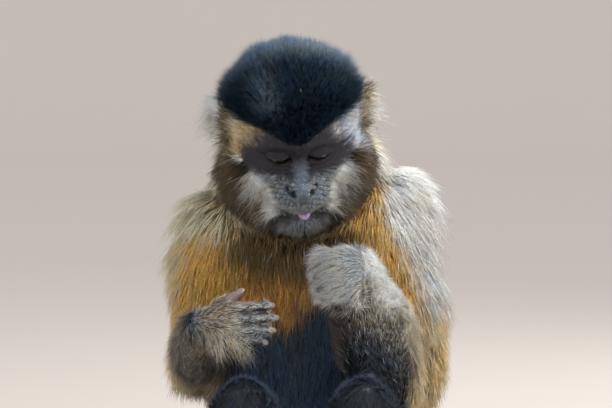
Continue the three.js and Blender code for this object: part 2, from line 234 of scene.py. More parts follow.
def ball(middle, sizes, rings=24, sides=36):
    """A closed ellipsoid: its sizes times (sin n cos t, cos n, sin n sin t), with its poles along Y."""
    nod, turn = ball_angles(rings, sides)
    grid = vectors(np.sin(nod) * np.cos(turn), np.cos(nod), np.sin(nod) * np.sin(turn))
    return shell(np.asarray(middle, float) + grid * np.asarray(sizes, float))


def surface_object(name, surfaces):
    """One mesh object of several surfaces, each of them its points and its arrays of faces."""
    starts = np.cumsum([0, *(len(points) for points, *_ in surfaces)])
    points = np.concatenate([points for points, *_ in surfaces])
    faces = ([kind + start for kind in kinds] for (_, *kinds), start in zip(surfaces, starts))
    return mesh_object(name, points, *(np.concatenate(kind) for kind in zip(*faces)))


def apply(piece, kind, **settings):
    """Adds a modifier with the given settings and applies it."""
    modifier = piece.modifiers.new(kind.lower(), kind)
    for key, value in settings.items():
        setattr(modifier, key, value)
    with bpy.context.temp_override(object=piece, active_object=piece, selected_objects=[piece]):
        bpy.ops.object.modifier_apply(modifier=modifier.name)


def join(piece, other):
    """Adds another mesh to a piece as it is."""
    both = [piece, other]
    with bpy.context.temp_override(object=piece, active_object=piece, selected_editable_objects=both):
        bpy.ops.object.join()


def place(piece, slot, *nodes):
    """Fixes a finished piece to the body, and has it stand for frame nodes. Its slot is not used."""
    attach(piece, "root")
    if nodes:
        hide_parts(*nodes)


def unite(piece, other):
    """Joins a closed mesh to another, with what lies inside either taken away."""
    apply(piece, "BOOLEAN", operation="UNION", solver="MANIFOLD", object=other)
    bpy.data.objects.remove(other)


# ---- The frame ----


def cad_points(node):
    """A frame node's points in millimetres."""
    return points_of(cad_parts[node])


def cad_solid(node):
    """A frame node's points, each once, and its triangles."""
    points, where = np.unique(np.round(cad_points(node), 3), axis=0, return_inverse=True)
    tris = where.reshape(-1)[triangles_of(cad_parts[node].data)]
    whole = (tris[:, 0] != tris[:, 1]) & (tris[:, 1] != tris[:, 2]) & (tris[:, 2] != tris[:, 0])
    return points, tris[whole]


def swollen(points, tris, by):
    """Points moved outwards along the mean normal of the triangles that meet there."""
    a, b, c = (points[tris[:, i]] for i in range(3))
    facing = np.cross(b - a, c - a)
    total = np.zeros_like(points)
    for corner in range(3):
        np.add.at(total, tris[:, corner], facing)
    return points + unit(total) * by


# Places in the head's own axes: between the eyes, the tongue, and the middle of the dark patch below the
# chin, which is partly dark hair and partly painted shadow of the head.
EYES_IN_HEAD = np.array([0, -25, 1.0])
TONGUE_IN_HEAD = np.array([0.5, -43.5, -42])
THROAT_IN_HEAD = np.array([-6, -38, -66.0])
THROAT_SIZE = np.array([50, 44, 24.0])  # half-sizes of that dark patch of hair and painted shadow


def head_frame():
    """The head's origin and its three axes, from where the frame has the eyes and the tongue. The eyes'
    line is the first axis. The other two lie where they put the tongue below the eyes as given."""
    right, left, tongue = (cad_points(n).mean(axis=0) for n in ("eye_right", "eye_left", "tongue"))
    across = unit(left - right)
    eyes = (left + right) / 2
    down = tongue - eyes
    down = unit(down - across * (down @ across))
    ahead, below = unit((TONGUE_IN_HEAD - EYES_IN_HEAD)[1:])
    other = np.cross(across, down)
    axes = np.array([across, ahead * down - below * other, below * down + ahead * other])
    return eyes - EYES_IN_HEAD @ axes, axes


HEAD_ORIGIN, HEAD_AXES = head_frame()


def to_head(points):
    """Points of the model in the head's own axes."""
    return (points - HEAD_ORIGIN) @ HEAD_AXES.T


def from_head(points):
    """Points in the head's own axes in those of the model."""
    return HEAD_ORIGIN + points @ HEAD_AXES


def on_head(surface):
    """A surface in the head's own axes as one in the model's."""
    points, *faces = surface
    return from_head(points), *faces


# The nodes of each limb and of the tail, from the body outwards.
LIMBS = [
    ["upper_arm_right", "forearm_right", "hand_right"],
    ["upper_arm_left", "forearm_left", "hand_left"],
    ["thigh_right", "shin_right", "foot_right"],
    ["thigh_left", "shin_left", "foot_left"],
    ["tail_1", "tail_2", "tail_3", "tail_4"],
]
GIRTH_SHARE = 80  # per cent of a node's points that lie within its girth
BONE_INSET = 0.4  # how far inside its node a bone ends, in girths
TRUNK_INSETS = (62, 50)  # how far below its top and above its bottom the trunk's bone ends
TRUNK_GIRTH = 64.0
NECK_ENDS = np.array([[0, -10, 18], [0, 6, -22]])  # the ends of the neck's bone, seen from the neck's middle
NECK_GIRTH = 46.0
BONE_FALL = 7  # how fast a bone's share falls off


def bone(node, chain):
    """A node's long axis as start, end and girth. It is the main axis of the node's points, and it runs
    away from the body as the chain of nodes does."""
    points = cad_points(node)
    middle = points.mean(axis=0)
    way = np.linalg.eigh(np.cov((points - middle).T))[1][:, -1]
    at = chain.index(node)
    ahead = at + 1 < len(chain)
    hint = cad_points(chain[at + 1 if ahead else at - 1]).mean(axis=0) - middle
    if (hint @ way > 0) != ahead:
        way = -way
    far = (points - middle) @ way
    off = points - middle - far[:, None] * way
    girth = np.percentile(np.linalg.norm(off, axis=1), GIRTH_SHARE)
    inset = girth * BONE_INSET
    return middle + way * (far.min() + inset), middle + way * (far.max() - inset), girth


def find_bones():
    """Every limb's bones, and one each for trunk and neck, as start, end and girth."""
    bones = {node: bone(node, chain) for chain in LIMBS for node in chain}
    low, high = (np.array(corner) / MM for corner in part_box("trunk"))
    depth = (low[1] + high[1]) / 2
    ends = high[2] - TRUNK_INSETS[0], low[2] + TRUNK_INSETS[1]
    bones["trunk"] = (*(np.array([0, depth, height]) for height in ends), TRUNK_GIRTH)
    bones["neck"] = (*(cad_points("neck").mean(axis=0) + NECK_ENDS), NECK_GIRTH)
    return bones


BONES = find_bones()
BONE_NAMES = list(BONES)
BONE_WAYS = {name: unit(end - start) for name, (start, end, _) in BONES.items()}


def bone_shares(points):
    """Each point's share of each bone: exp(-BONE_FALL q^2), with q its distance from the bone in girths."""
    weights = []
    for start, end, girth in BONES.values():
        way = end - start
        share = np.clip((points - start) @ way / (way @ way), 0, 1)
        away = np.linalg.norm(points - start - share[:, None] * way, axis=1) / girth
        weights.append(np.exp(-BONE_FALL * away**2) + TINY)
    weights = np.stack(weights, axis=1)
    return weights / weights.sum(axis=1, keepdims=True)


def along_bone(points, name):
    """How far along a bone each point lies, from 0 at its start to 1 at its end."""
    start, end, _ = BONES[name]
    return (points - start) @ BONE_WAYS[name] / np.linalg.norm(end - start)


# ---- Regions of the coat ----

# Hair length, width and lift in degrees, how thick it grows, share of pale hairs, then the colours of the
# bare skin, of the hair's root and of its tip.
REGIONS = {
    # The cap: near-black hair, its tips tinted blue as a painted cold sheen.
    "cap": (11, 0.45, 60, 1.6, 0.0, (0.003, 0.005, 0.008), (0.001, 0.003, 0.006), (0.006, 0.015, 0.027)),
    # The cap's top: the same black hair with pale blue-grey tips, a painted highlight where light falls on
    # it.
    "crown": (12, 0.45, 60, 1.6, 0.0, (0.004, 0.007, 0.011), (0.003, 0.006, 0.011), (0.13, 0.18, 0.235)),
    "temple": (6.0, 0.34, 30, 1.4, 0.12, (0.26, 0.18, 0.11), (0.42, 0.30, 0.18), (0.95, 0.74, 0.47)),
    # The left temple: the same tan hair as the right, painted grey-lilac for the cool light that falls on
    # that side.
    "temple_left": (6.0, 0.34, 32, 1.3, 0.25, (0.12, 0.12, 0.14), (0.16, 0.16, 0.19), (0.52, 0.54, 0.60)),
    "orbit": (2.0, 0.20, 24, 0.9, 0.03, (0.013, 0.012, 0.019), (0.010, 0.010, 0.015), (0.065, 0.06, 0.082)),
    # Nose and bridge: short pale hair over blue-grey skin, partly a painted highlight on the nose's top.
    "nose": (1.7, 0.18, 30, 0.5, 0.4, (0.11, 0.15, 0.20), (0.15, 0.18, 0.22), (0.45, 0.5, 0.56)),
    "muzzle": (3.0, 0.22, 36, 1.1, 0.6, (0.034, 0.04, 0.05), (0.07, 0.085, 0.10), (0.44, 0.50, 0.56)),
    "lips": (1.2, 0.20, 22, 0.5, 0.12, (0.022, 0.027, 0.036), (0.04, 0.04, 0.05), (0.2, 0.2, 0.22)),
    "cheek": (8.5, 0.30, 28, 1.9, 0.75, (0.52, 0.57, 0.57), (0.88, 0.95, 0.95), (0.98, 0.98, 0.98)),
    "ruff_high": (10, 0.42, 40, 1.6, 0.12, (0.014, 0.010, 0.006), (0.014, 0.010, 0.006), (0.26, 0.20, 0.11)),
    "ruff": (17, 0.5, 42, 1.6, 0.03, (0.010, 0.008, 0.006), (0.009, 0.006, 0.004), (0.11, 0.08, 0.038)),
    "beard": (14, 0.42, 36, 1.3, 0.25, (0.03, 0.026, 0.022), (0.04, 0.034, 0.024), (0.30, 0.26, 0.17)),
    # Below the chin: dark brown hair, partly painted shadow of the head.
    "throat": (18, 0.5, 26, 1.4, 0.03, (0.03, 0.02, 0.015), (0.035, 0.024, 0.014), (0.24, 0.17, 0.078)),
    "ear": (9, 0.36, 56, 1.5, 0.9, (0.5, 0.45, 0.4), (0.94, 0.94, 0.90), (0.98, 0.98, 0.95)),
    "nape": (24, 0.58, 52, 1.5, 0.6, (0.3, 0.26, 0.2), (0.66, 0.61, 0.50), (0.98, 0.97, 0.90)),
    "neck": (21, 0.65, 35, 1.2, 0.3, (0.25, 0.2, 0.13), (0.50, 0.42, 0.28), (0.96, 0.89, 0.68)),
    "chest": (21, 0.62, 22, 1.2, 0.03, (0.12, 0.06, 0.02), (0.20, 0.098, 0.030), (0.68, 0.38, 0.11)),
    # Dark hair of the belly, with a blue tint that is painted cool skylight in the shade.
    "belly": (12, 0.55, 20, 1.0, 0, (0.016, 0.024, 0.038), (0.014, 0.025, 0.044), (0.10, 0.165, 0.25)),
    "back": (22, 0.75, 26, 1.0, 0.12, (0.12, 0.1, 0.08), (0.10, 0.08, 0.055), (0.38, 0.32, 0.21)),
    # Shoulders and outer arms: one pale coat, real, in two copies. The right side's darker ones are painted
    # as in shade, the left side's whiter, bluer ones as in full light.
    "shoulder": (24, 0.62, 22, 1.3, 0.25, (0.28, 0.25, 0.18), (0.38, 0.33, 0.20), (0.88, 0.80, 0.56)),
    "shoulder_left": (25, 0.60, 28, 1.3, 0.8, (0.80, 0.78, 0.73), (0.96, 0.96, 0.94), (0.98, 0.98, 0.97)),
    "arm_outer": (18, 0.6, 18, 1.2, 0.3, (0.26, 0.25, 0.19), (0.40, 0.38, 0.28), (0.82, 0.80, 0.64)),
    "arm_outer_left": (20, 0.6, 25, 1.2, 0.45, (0.28, 0.30, 0.32), (0.40, 0.43, 0.47), (0.92, 0.94, 0.94)),
    "arm_low": (18, 0.6, 24, 1.2, 0.12, (0.26, 0.18, 0.09), (0.40, 0.28, 0.13), (0.94, 0.75, 0.44)),
    "arm_inner": (18, 0.56, 26, 1.3, 0.06, (0.40, 0.17, 0.03), (0.74, 0.31, 0.04), (1.0, 0.66, 0.20)),
    "forearm": (9, 0.40, 30, 1.3, 0.3, (0.026, 0.023, 0.022), (0.03, 0.026, 0.022), (0.24, 0.205, 0.155)),
    # Dark undersides of the arms: partly real dark hair, partly painted shade where they face down and
    # inwards.
    "under": (14, 0.45, 28, 1.2, 0.02, (0.022, 0.019, 0.021), (0.022, 0.018, 0.021), (0.12, 0.085, 0.075)),
    # Long pale hair along an edge. On the raised forearm, where it faces the lamps, it is partly painted rim
    # light.
    "fringe": (20, 0.42, 32, 1.5, 0.45, (0.2, 0.16, 0.10), (0.50, 0.41, 0.26), (0.96, 0.88, 0.68)),
    "hand": (7, 0.36, 24, 1.4, 0.4, (0.05, 0.042, 0.04), (0.17, 0.148, 0.11), (0.62, 0.54, 0.37)),
    "fist": (10, 0.36, 22, 1.5, 0.6, (0.12, 0.125, 0.125), (0.36, 0.38, 0.38), (0.97, 0.98, 0.97)),
    # Pale hair round the raised fist and wrist, partly painted rim light.
    "cuff": (11, 0.42, 44, 1.6, 0.8, (0.7, 0.68, 0.62), (0.94, 0.94, 0.90), (0.98, 0.98, 0.96)),
    # Dark hair at the right wrist, with a blue tint that is painted cool skylight in the shade.
    "wrist": (8, 0.42, 30, 1.4, 0.16, (0.02, 0.025, 0.035), (0.03, 0.04, 0.055), (0.24, 0.29, 0.37)),
    "fingers": (4.6, 0.30, 13, 1.4, 0.5, (0.03, 0.027, 0.03), (0.18, 0.19, 0.18), (0.72, 0.75, 0.73)),
    # Dark hair of thighs and shins, with a blue tint that is painted cool skylight in the shade.
    "thigh": (15, 0.6, 25, 1.1, 0, (0.012, 0.016, 0.022), (0.009, 0.013, 0.021), (0.055, 0.075, 0.11)),
    "shin": (13, 0.55, 24, 1.2, 0, (0.012, 0.016, 0.022), (0.009, 0.013, 0.021), (0.055, 0.075, 0.11)),
    "foot": (4.5, 0.40, 22, 1.3, 0.05, (0.05, 0.045, 0.05), (0.02, 0.02, 0.024), (0.085, 0.085, 0.095)),
    "tail": (13, 0.6, 32, 1.1, 0, (0.04, 0.033, 0.025), (0.024, 0.020, 0.016), (0.11, 0.09, 0.06)),
}
REGION_NAMES = list(REGIONS)
PALE_HAIR = np.array([0.94, 0.95, 0.91])
BARE_FINGER = np.array([0.20, 0.135, 0.135])
BARE_TIPS = (5, 5, 5, 5, 13)  # how much of the end of each finger and of the thumb of the right hand is bare


def fill_hair():
    """Fills the scene's list of hair looks from the table of regions."""
    looks = bpy.context.scene.capuchin_hair
    looks.clear()
    for name, (length, width, lift, growth, pale, skin, root, tip) in REGIONS.items():
        look = looks.add()
        look.name = name
        look.length, look.width, look.lift = length * MM, width * MM, math.radians(lift)
        look.growth, look.pale = growth, pale
        look.skin, look.root, look.tip = skin, root, tip


def hair_table():
    """Hair looks as arrays with a row for each region: length and width in millimetres, lift and share of
    pale hairs, and then the colours of skin, root and tip."""
    looks = [bpy.context.scene.capuchin_hair[name] for name in REGION_NAMES]
    measures = np.array([[look.length / MM, look.width / MM, look.lift, look.pale] for look in looks])
    colours = (np.array([getattr(look, key)[:] for look in looks]) for key in ("skin", "root", "tip"))
    return measures, *colours


# The head's forms under the coat, in its own axes: middle and half-sizes.
HEAD_FORMS = np.array(
    [
        [0, 9, 12, 45, 38.5, 37.5],  # skull
        [-25, -4, -26, 20, 20, 35],  # right jaw
        [25, -4, -26, 20, 20, 35],  # left jaw
        [0, -15, -52, 29, 19, 17],  # throat
        [0, -17, 9, 33.5, 19, 14.5],  # brow
        [0, -13, -16, 36.5, 20, 31],  # cheeks
        [0, -25, -32, 21.5, 20.5, 15.5],  # muzzle
        [0, -25, -51, 15.5, 17, 11.5],  # chin
        [0, -29, -11, 6.5, 8.4, 16],  # bridge of the nose
        [0, -33, -17.5, 8.2, 9.6, 8.5],  # slope down to the nose
        [0, -41.5, -21.5, 8.4, 6.8, 6.3],  # nose
    ]
)
BESIDES = np.array(  # what belongs to the head too
    [
        [-50, 16, 0, 11, 16, 18],  # right ear
        [50, 16, 0, 11, 16, 18],  # left ear
        [-14, -24, -1, 14, 14, 14],  # right eyelids
        [14, -24, -1, 14, 14, 14],  # left eyelids
    ]
)
EYE_SPACING = 13.6  # from the middle of the head to the middle of an eye
EYE_RADIUS = 8.6
LID = 1.0  # thickness of an eyelid
MOUTH_HEIGHT = -41.3
MOUTH_DROOP = 12  # how much lower the corners of the mouth end
MOUTH_SPREAD = 11.5


def mouth_line(x):
    """Height of the line between the lips, which sinks by MOUTH_DROOP (1 - exp(-(x/MOUTH_SPREAD)^2))."""
    return MOUTH_HEIGHT - MOUTH_DROOP * (1 - bell(x, 0, MOUTH_SPREAD))


def eye_middle(sign):
    """The middle of an eye, in the head's own axes."""
    return EYES_IN_HEAD + [sign * EYE_SPACING, 0, 0]


def head_regions(points):
    """How much of each head region a point has, and where hair lies there, in the head's own axes."""
    x, y, z = points.T
    wide = np.abs(x)
    hand = np.sign(x)
    fray = ripple(points, 5, 4)
    # Outlines of the regions: cap above the hairline, with a painted blue-grey highlight on its top and on a
    # whorl, then the face, then what lies behind it.
    hairline = 20.5 - 7 * np.exp(-(((x + 1) / 13) ** 2)) + 0.8 * fray - 0.32 * np.clip(y - 2, 0, None)
    cap = rise(-1.2, 1.2, z - hairline)
    # The painted highlight on the cap's top, and on a whorl of hair at its right.
    whorl_sheen = 0.8 * np.exp(-(((x + 17) / 8) ** 2) - ((z - 36) / 8) ** 2)
    crown = np.maximum(rise(-3, 21, y + 5 * fray) * rise(12, 32, z), whorl_sheen)
    front = rise(-2, -9, y + 0.16 * np.minimum(z + 6, 0) + fray)
    lips = bell(z - mouth_line(x), -1.3, 1.7) * rise(21, 16, wide) * rise(-20, -26, y)
    socket = (np.abs(wide - 14) / 23) ** 3 + (np.abs(z - 3) / 20) ** 3
    edge = 33 - 0.62 * z + 3 * fray + 4 * rise(0, -12, x)
    orbit = rise(1.45, 0.6, socket + 0.2 * fray) * rise(6, -5, wide - edge) * rise(42, 36, wide)
    bridge = bell(x, 0, 4.2) * rise(-24, -14, z) * rise(0, -8, z)
    nose = np.maximum(bell(x, 0, 10) * bell(z, -22, 6), bridge)
    inner = 16.5 + 0.5 * np.clip(z + 36, 0, 20) + 1.5 * fray
    muzzle = rise(2, -2, wide - inner) * rise(-13, -17, z + 1.5 * fray) * rise(-66, -58, z)
    chin = rise(1, 0.85, np.hypot(x / 25, (z + 72) / 18))
    temple = rise(-20, -10, z) * rise(-5, 5, wide - edge)
    fall = np.clip(-14 - z, 0, None)
    white = rise(-8, -16, z) * rise(34.5, 29, wide + 0.07 * fall + 0.0075 * fall**2 + 1.5 * fray)
    white = white * rise(-56, -48, z)
    behind = rise(8, 15, y) * rise(34, 18, z)
    nape = behind * rise(14, 26, wide + 3 * fray)
    nape_low = nape * rise(16, 4, z)
    pinna = 20 * rise(46.2, 47.2, wide) * rise(3, 7, y)
    high = rise(-16, -6, z + 2 * fray)
    rest = 1 - cap
    face = rest * front
    sides = rest * (1 - front)
    weights = {
        "cap": cap * (1 - nape_low) * (1 - crown) + rest * (behind - nape),
        "crown": cap * (1 - nape_low) * crown,
        "lips": face * lips * 4,
        # The nose's pale blue-grey is partly a painted highlight.
        "nose": face * nose * 2.5 * rise(-30, -36, y),
        "orbit": face * orbit * 1.5,
        "muzzle": face * muzzle,
        # One tan temple, whose copy on the left side is painted in cool light.
        "temple": face * temple * (x < 0),
        "temple_left": face * temple * (x >= 0),
        "cheek": face * white * (1 - muzzle) * (1 - orbit) * (1 - chin) + 1e-4,
        "beard": face * chin * (1 - muzzle) * 1.5 + sides * rise(-58, -68, z),
        "ruff": sides * (1 - behind) * (1 - high) + face * (1 - white) * rise(-10, -18, z),
        "ruff_high": sides * (1 - behind) * high + pinna * (x > 0),
        "nape": nape * rest + nape_low * 0.5,
        "ear": pinna * (x <= 0),
    }
    lies = {
        "cap": (0.25 * x / 40, 0.75, 0.45),
        "crown": (0.25 * x / 40, 0.6, 0.75),
        "lips": (x / 30, 0, -1),
        "nose": (x / 12, 0.2, 0.6),
        "orbit": (x / 16, 0.3, (z - 1) / 12 + 0.3),
        "muzzle": (x / 14, 0.5, -0.6 + (z + 24) / 40),
        "temple": (0.55 * hand, 0.5, 0.85),
        "temple_left": (0.55 * hand, 0.5, 0.85),
        "cheek": (0.95 * hand, 0.45, -0.45),
        "beard": (0.6 * x / 30, -0.25, -1),
        "ruff": (0.85 * hand, 0.35, -0.55 + 0.01 * (z + 10)),
        "ruff_high": (0.8 * hand, 0.6, 0.2 + 0.02 * z),
        "nape": (0.95 * hand, 0.2, -0.35),
        "ear": (0.8 * hand, 0.5, 0.5),
    }
    return weights, {name: unit(vectors(*lie)) @ HEAD_AXES for name, lie in lies.items()}


def from_forms(points):
    """Smallest distance from a head form's middle in units of its size, where 1 is on its surface."""
    away = np.full(len(points), 9.0)
    for form in np.concatenate([HEAD_FORMS, BESIDES]):
        away = np.minimum(away, np.linalg.norm((points - form[:3]) / form[3:], axis=1))
    return away


ARM_REGIONS = ("arm_outer", "arm_outer_left", "arm_low", "arm_inner")
LIMB_REGIONS = ("shoulder", "shoulder_left", *ARM_REGIONS, "forearm", "under", "fringe", "hand", "fist")
LIMB_REGIONS += ("cuff", "wrist", "fingers", "thigh", "shin", "foot", "tail")

# The dark underside and the pale outer edge of the raised forearm. The first is partly painted shade where
# it faces down, and the second partly painted rim light where it faces the lamps: the way that each faces,
# how far out that way it begins and is full, and whether its hair lies towards the hand or the elbow.
FOREARM_EDGES = {
    "under": (unit([-0.85, -0.1, -0.5]), 0, 9, 1),
    "fringe": (unit([0.9, -0.35, 0.2]), 23, 30, -1),
}
FOREARM_HANG = [-0.3, 0, -1.6]  # how the hair of the right forearm hangs down
# The orange front of each arm: how high it starts, how far out it reaches at a height of 200 mm, and how
# much further for each millimetre below that.
ORANGE = {"right": (226, 78, 0.25), "left": (262, 67, 0.5)}


def paw_regions(points, side):
    """A hand's regions by the way along and across it, each with its share and its lie."""
    wrist, axes = paw_axes(f"hand_{side}")
    far, across = ((points - wrist) @ axes.T).T[:2]
    along, thumbward, back = axes
    if side == "left":
        # The fist's pale cuff at its wrist end and along one edge is partly painted rim light.
        cuff = np.maximum(rise(1, -8, far + 0.35 * across), rise(-15, -20, across) * rise(8, 20, far))
        rim = unit(points - wrist - 10 * along) * [1, 0.3, 1]
        yield "cuff", cuff, rim + [0.2, 0, 0]
        yield "fist", 1 - cuff, np.array([-0.95, -0.1, -0.28])
        return
    fingers = rise(30, 37, far)
    cuff = rise(12, 2, far + 0.4 * across) * (1 - fingers) * rise(-12, -4, across)
    fringe = rise(0, -7, across) * (1 - fingers - cuff)
    yield "wrist", cuff, along - 0.2 * back
    yield "hand", 1 - fingers - cuff - fringe, along - thumbward * rise(2, -12, across)[:, None]
    yield "fringe", fringe, 0.5 * along - thumbward
    yield "fingers", fingers, along


def with_fist(points, share):
    """Bone shares with all of the raised fist counted as hand, round a place a little beyond the wrist."""
    wrist, axes = paw_axes("hand_left")
    off = points - wrist
    fist = rise(-3, 3, off @ axes[0]) * rise(28, 23, np.linalg.norm(off - 8 * axes[0], axis=1))
    hand = np.maximum(share["hand_left"], fist)
    return {**share, "hand_left": hand, "forearm_left": share["forearm_left"] * (1 - fist)}


def body_regions(points, shares):
    """How much of each body region a point has, and where hair lies there, in the model's axes."""
    x, y, z = points.T
    hand = np.sign(x)
    share = with_fist(points, dict(zip(BONE_NAMES, shares.T)))
    front = rise(8, -22, y - 0.18 * (np.minimum(z, 205) - 120)) * rise(252, 236, z)
    low = rise(10, -8, z - 169 - 0.8 * np.clip(x + 2, -8, 18) + 9 * ripple(points, 9, 2))
    ragged = 4 * ripple(points, 12, 8)
    weights = {
        "neck": share["neck"] * (1 - front),
        "chest": share["trunk"] * front * (1 - low) + share["neck"] * front,
        "belly": share["trunk"] * front * low,
        "back": share["trunk"] * (1 - front),
        **{region: np.zeros(len(points)) for region in LIMB_REGIONS},
    }
    lies = {
        "neck": vectors(0.8 * hand, 0.35, -0.55),
        "chest": vectors(-0.25 * x / 50, -0.25, -1),
        "belly": vectors(-0.2 * x / 50, -0.1, -1),
        "back": vectors(0.2 * x / 60, 0.12, -1),
        **{region: np.zeros_like(points) for region in LIMB_REGIONS},
    }

    def add(region, part, lie):
        """Adds to a region's weight, and to its lie by the same weight."""
        weights[region] += part
        lies[region] += part[:, None] * lie

    for side, sign in SIDES.items():
        bone_name = f"upper_arm_{side}"
        upper = share[bone_name]
        start, end, _ = BONES[bone_name]
        middle = (start + end) / 2
        highest, widest, slope = ORANGE[side]
        edge = widest + np.clip(slope * (200 - z), -16, 10) + ragged
        arm_low = rise(174, 158, z + 2 * ragged)
        inner = rise(5, -5, x * sign - edge) * rise(highest, highest - 14, z + ragged) * (1 - arm_low)
        inner = inner * rise(8, -4, y - middle[1])
        # Low on the inner side of the upper arm lies the dark underside: partly real dark hair, partly
        # painted shade.
        dark_shaded_inner = arm_low * rise(-2, -9, x * sign - abs(middle[0]))
        weights["arm_inner"] += upper * inner
        weights["under"] += upper * dark_shaded_inner
        weights["arm_low"] += upper * (arm_low - dark_shaded_inner)
        # What is left is shoulder and outer arm, which on the left are paler in front: there they take the
        # lit copies of their colours, where the extra paleness is painted light.
        top = rise(0.6, 0.25, along_bone(points, bone_name)) * (1 - arm_low)
        lit_front = rise(26, 6, y + ragged) if side == "left" else 0
        rest = upper * (1 - inner - arm_low)
        for region, part in (("shoulder", rest * top), ("arm_outer", rest * (1 - top))):
            weights[region + "_left"] += part * lit_front
            weights[region] += part * (1 - lit_front)
        for region in ("shoulder", "shoulder_left"):
            lies[region] += upper[:, None] * np.array([0.55 * sign, -0.1, -0.8])
        for region in (*ARM_REGIONS, "under"):
            lies[region] += upper[:, None] * (BONE_WAYS[bone_name] + [0.12 * sign, 0, 0])
        for region in ("forearm", "thigh", "shin", "foot"):
            hang = FOREARM_HANG if (region, side) == ("forearm", "right") else [0, 0, 0]
            add(region, share[f"{region}_{side}"], BONE_WAYS[f"{region}_{side}"] + hang)
        for region, part, lie in paw_regions(points, side):
            add(region, part * share[f"hand_{side}"], lie)

    # The raised forearm has a pale cuff at the wrist, a dark underside and a pale fringe. The cuff and the
    # fringe, on the side that faces the lamps, are partly painted rim light, and the underside is partly
    # painted shade.
    start, end, _ = BONES["forearm_left"]
    off = points - (start + end) / 2
    wristward = rise(0.62, 0.9, along_bone(points, "forearm_left"))
    cuff = weights["forearm"] * wristward * share["forearm_left"] * rise(8, 17, off @ unit([1, 0, 0.4]))
    weights["forearm"] -= cuff
    add("cuff", cuff, [0.5, -0.2, -0.2])
    for region, (facing, near, far, sense) in FOREARM_EDGES.items():
        part = weights["forearm"] * share["forearm_left"] * rise(near, far, off @ facing + ragged / 2)
        weights["forearm"] -= part
        add(region, part, sense * BONE_WAYS["forearm_left"])
    for node in LIMBS[-1]:
        add("tail", share[node], BONE_WAYS[node])
    return weights, {name: unit(lie) for name, lie in lies.items()}


def bare_skin(points):
    """1 where no hair grows, in the head's own axes: between lids, in the nostrils and between the lips."""
    x, y, z = points.T
    wide = np.abs(x)
    slit = rise(1.25, 0.95, np.hypot((wide - EYE_SPACING) / 8.2, (z + 1.6) / 2.7))
    nostril = rise(1.25, 0.9, np.hypot((wide - 7.6) / 3.1, (z + 22.6) / 2.7))
    mouth = rise(1.9, 1.1, np.abs(z - mouth_line(x))) * rise(21, 17, wide)
    return np.maximum(np.maximum(slit, nostril), mouth) * rise(-18, -24, y)


def bare_tips(points):
    """1 at the ends of the right hand's digits, where no hair grows."""
    bare = np.zeros(len(points))
    for (tip, *_), size in zip(paw("hand_right")[1], BARE_TIPS):
        bare = np.maximum(bare, rise(size + 2, size - 1, np.linalg.norm(points - tip, axis=1)))
    return bare


def add_throat(points, bones, weights, lies):
    """Adds the dark hair below the chin, which is partly painted shadow of the head: an ellipsoid of it over
    the other regions, less the raised arm.
    """
    off = (points - from_head(THROAT_IN_HEAD)) / THROAT_SIZE
    near = rise(1.25, 0.75, np.linalg.norm(off, axis=1) + 0.12 * ripple(points, 9, 12))
    raised = [BONE_NAMES.index(name) for name in ("hand_left", "forearm_left")]
    near = near * (1 - bones[:, raised].sum(axis=1))
    weights["throat"] = near / np.maximum(1 - near, 0.02) * sum(weights.values())
    lies["throat"] = unit(off * [0.5, 0.2, 0] + [0, -0.2, -1])


def describe(points):
    """What grows at points in millimetres: shares of the regions, lie, measures and colours of the hair."""
    head = to_head(points)
    headed = rise(1.32, 1.14, from_forms(head))
    head_weights, head_lies = head_regions(head)
    bones = bone_shares(points)
    weights, lies = body_regions(points, bones)
    add_throat(points, bones, weights, lies)
    shares = np.zeros((len(points), len(REGIONS)))
    lie = np.zeros_like(points)
    for names, ways, scale in ((weights, lies, 1 - headed), (head_weights, head_lies, headed)):
        total = np.maximum(sum(names.values()), 1e-6)
        for name, weight in names.items():
            part = np.maximum(weight, 0) / total * scale
            shares[:, REGION_NAMES.index(name)] += part
            lie += part[:, None] * ways[name]
    table, skin, root, tip = hair_table()
    length, width, lift, pale = (shares @ table).T
    bare = bare_skin(head) * headed
    tips = bare_tips(points)
    # The rims of the eyelids are darker, partly from their own dark skin and partly from the painted shadow
    # of the upper lid, and what is bare on the head is much darker: painted shade in the eye slits, the
    # nostrils and between the lips.
    rim = headed * bell(np.hypot((np.abs(head[:, 0]) - EYE_SPACING) / 9, (head[:, 2] + 2) / 3.5), 0, 1)
    colour = (shares @ skin) * ((1 - 0.93 * bare) * (1 - 0.6 * rim))[:, None]
    return {
        "shares": shares,
        "lie": unit(lie),
        "length": length,
        "width": width,
        "lift": lift,
        "pale": pale,
        "skin": colour + (BARE_FINGER - colour) * tips[:, None],
        "root": shares @ root,
        "tip": shares @ tip,
        "bare": np.maximum(bare, tips),
        "head": head,
        "headed": headed,
    }


COAT_SHARE = 0.95  # how much of a hair's height over the skin the coat is deep


def coat_depth(found):
    """How far the skin lies inside the hair's outline: most of the height at which a hair ends."""
    return COAT_SHARE * found["length"] * np.sin(found["lift"])


# ---- Skin ----

HEAD_MIDDLE = np.array([0, -6, -10.0])
MUZZLE_WAY = unit([0, -0.94, -0.34])
MUZZLE_UP = unit(np.cross([1, 0, 0], MUZZLE_WAY))
HEAD_RINGS = 188
HEAD_SIDES = 316
FORM_BLEND = 3.0  # width of the blend where the head's forms meet
LIDS_HALF = 7.4  # half the width of the opening between the lids
SLIT_HEIGHT = -2.0  # of the corners of that opening, from the middle of the eye
SLIT_DEPTH = 1.6  # how far behind the eye's surface the opening ends


def reach(ways, form):
    """Distance from the head's middle to an ellipsoid's far side along each way, a quadratic's root."""
    start = (HEAD_MIDDLE - form[:3]) / form[3:]
    step = ways / form[3:]
    a = (step**2).sum(-1)
    b = step @ start
    inside = b**2 - a * (start @ start - 1)
    return np.where(inside > 0, np.maximum((-b + np.sqrt(np.maximum(inside, 0))) / a, 0), 0)


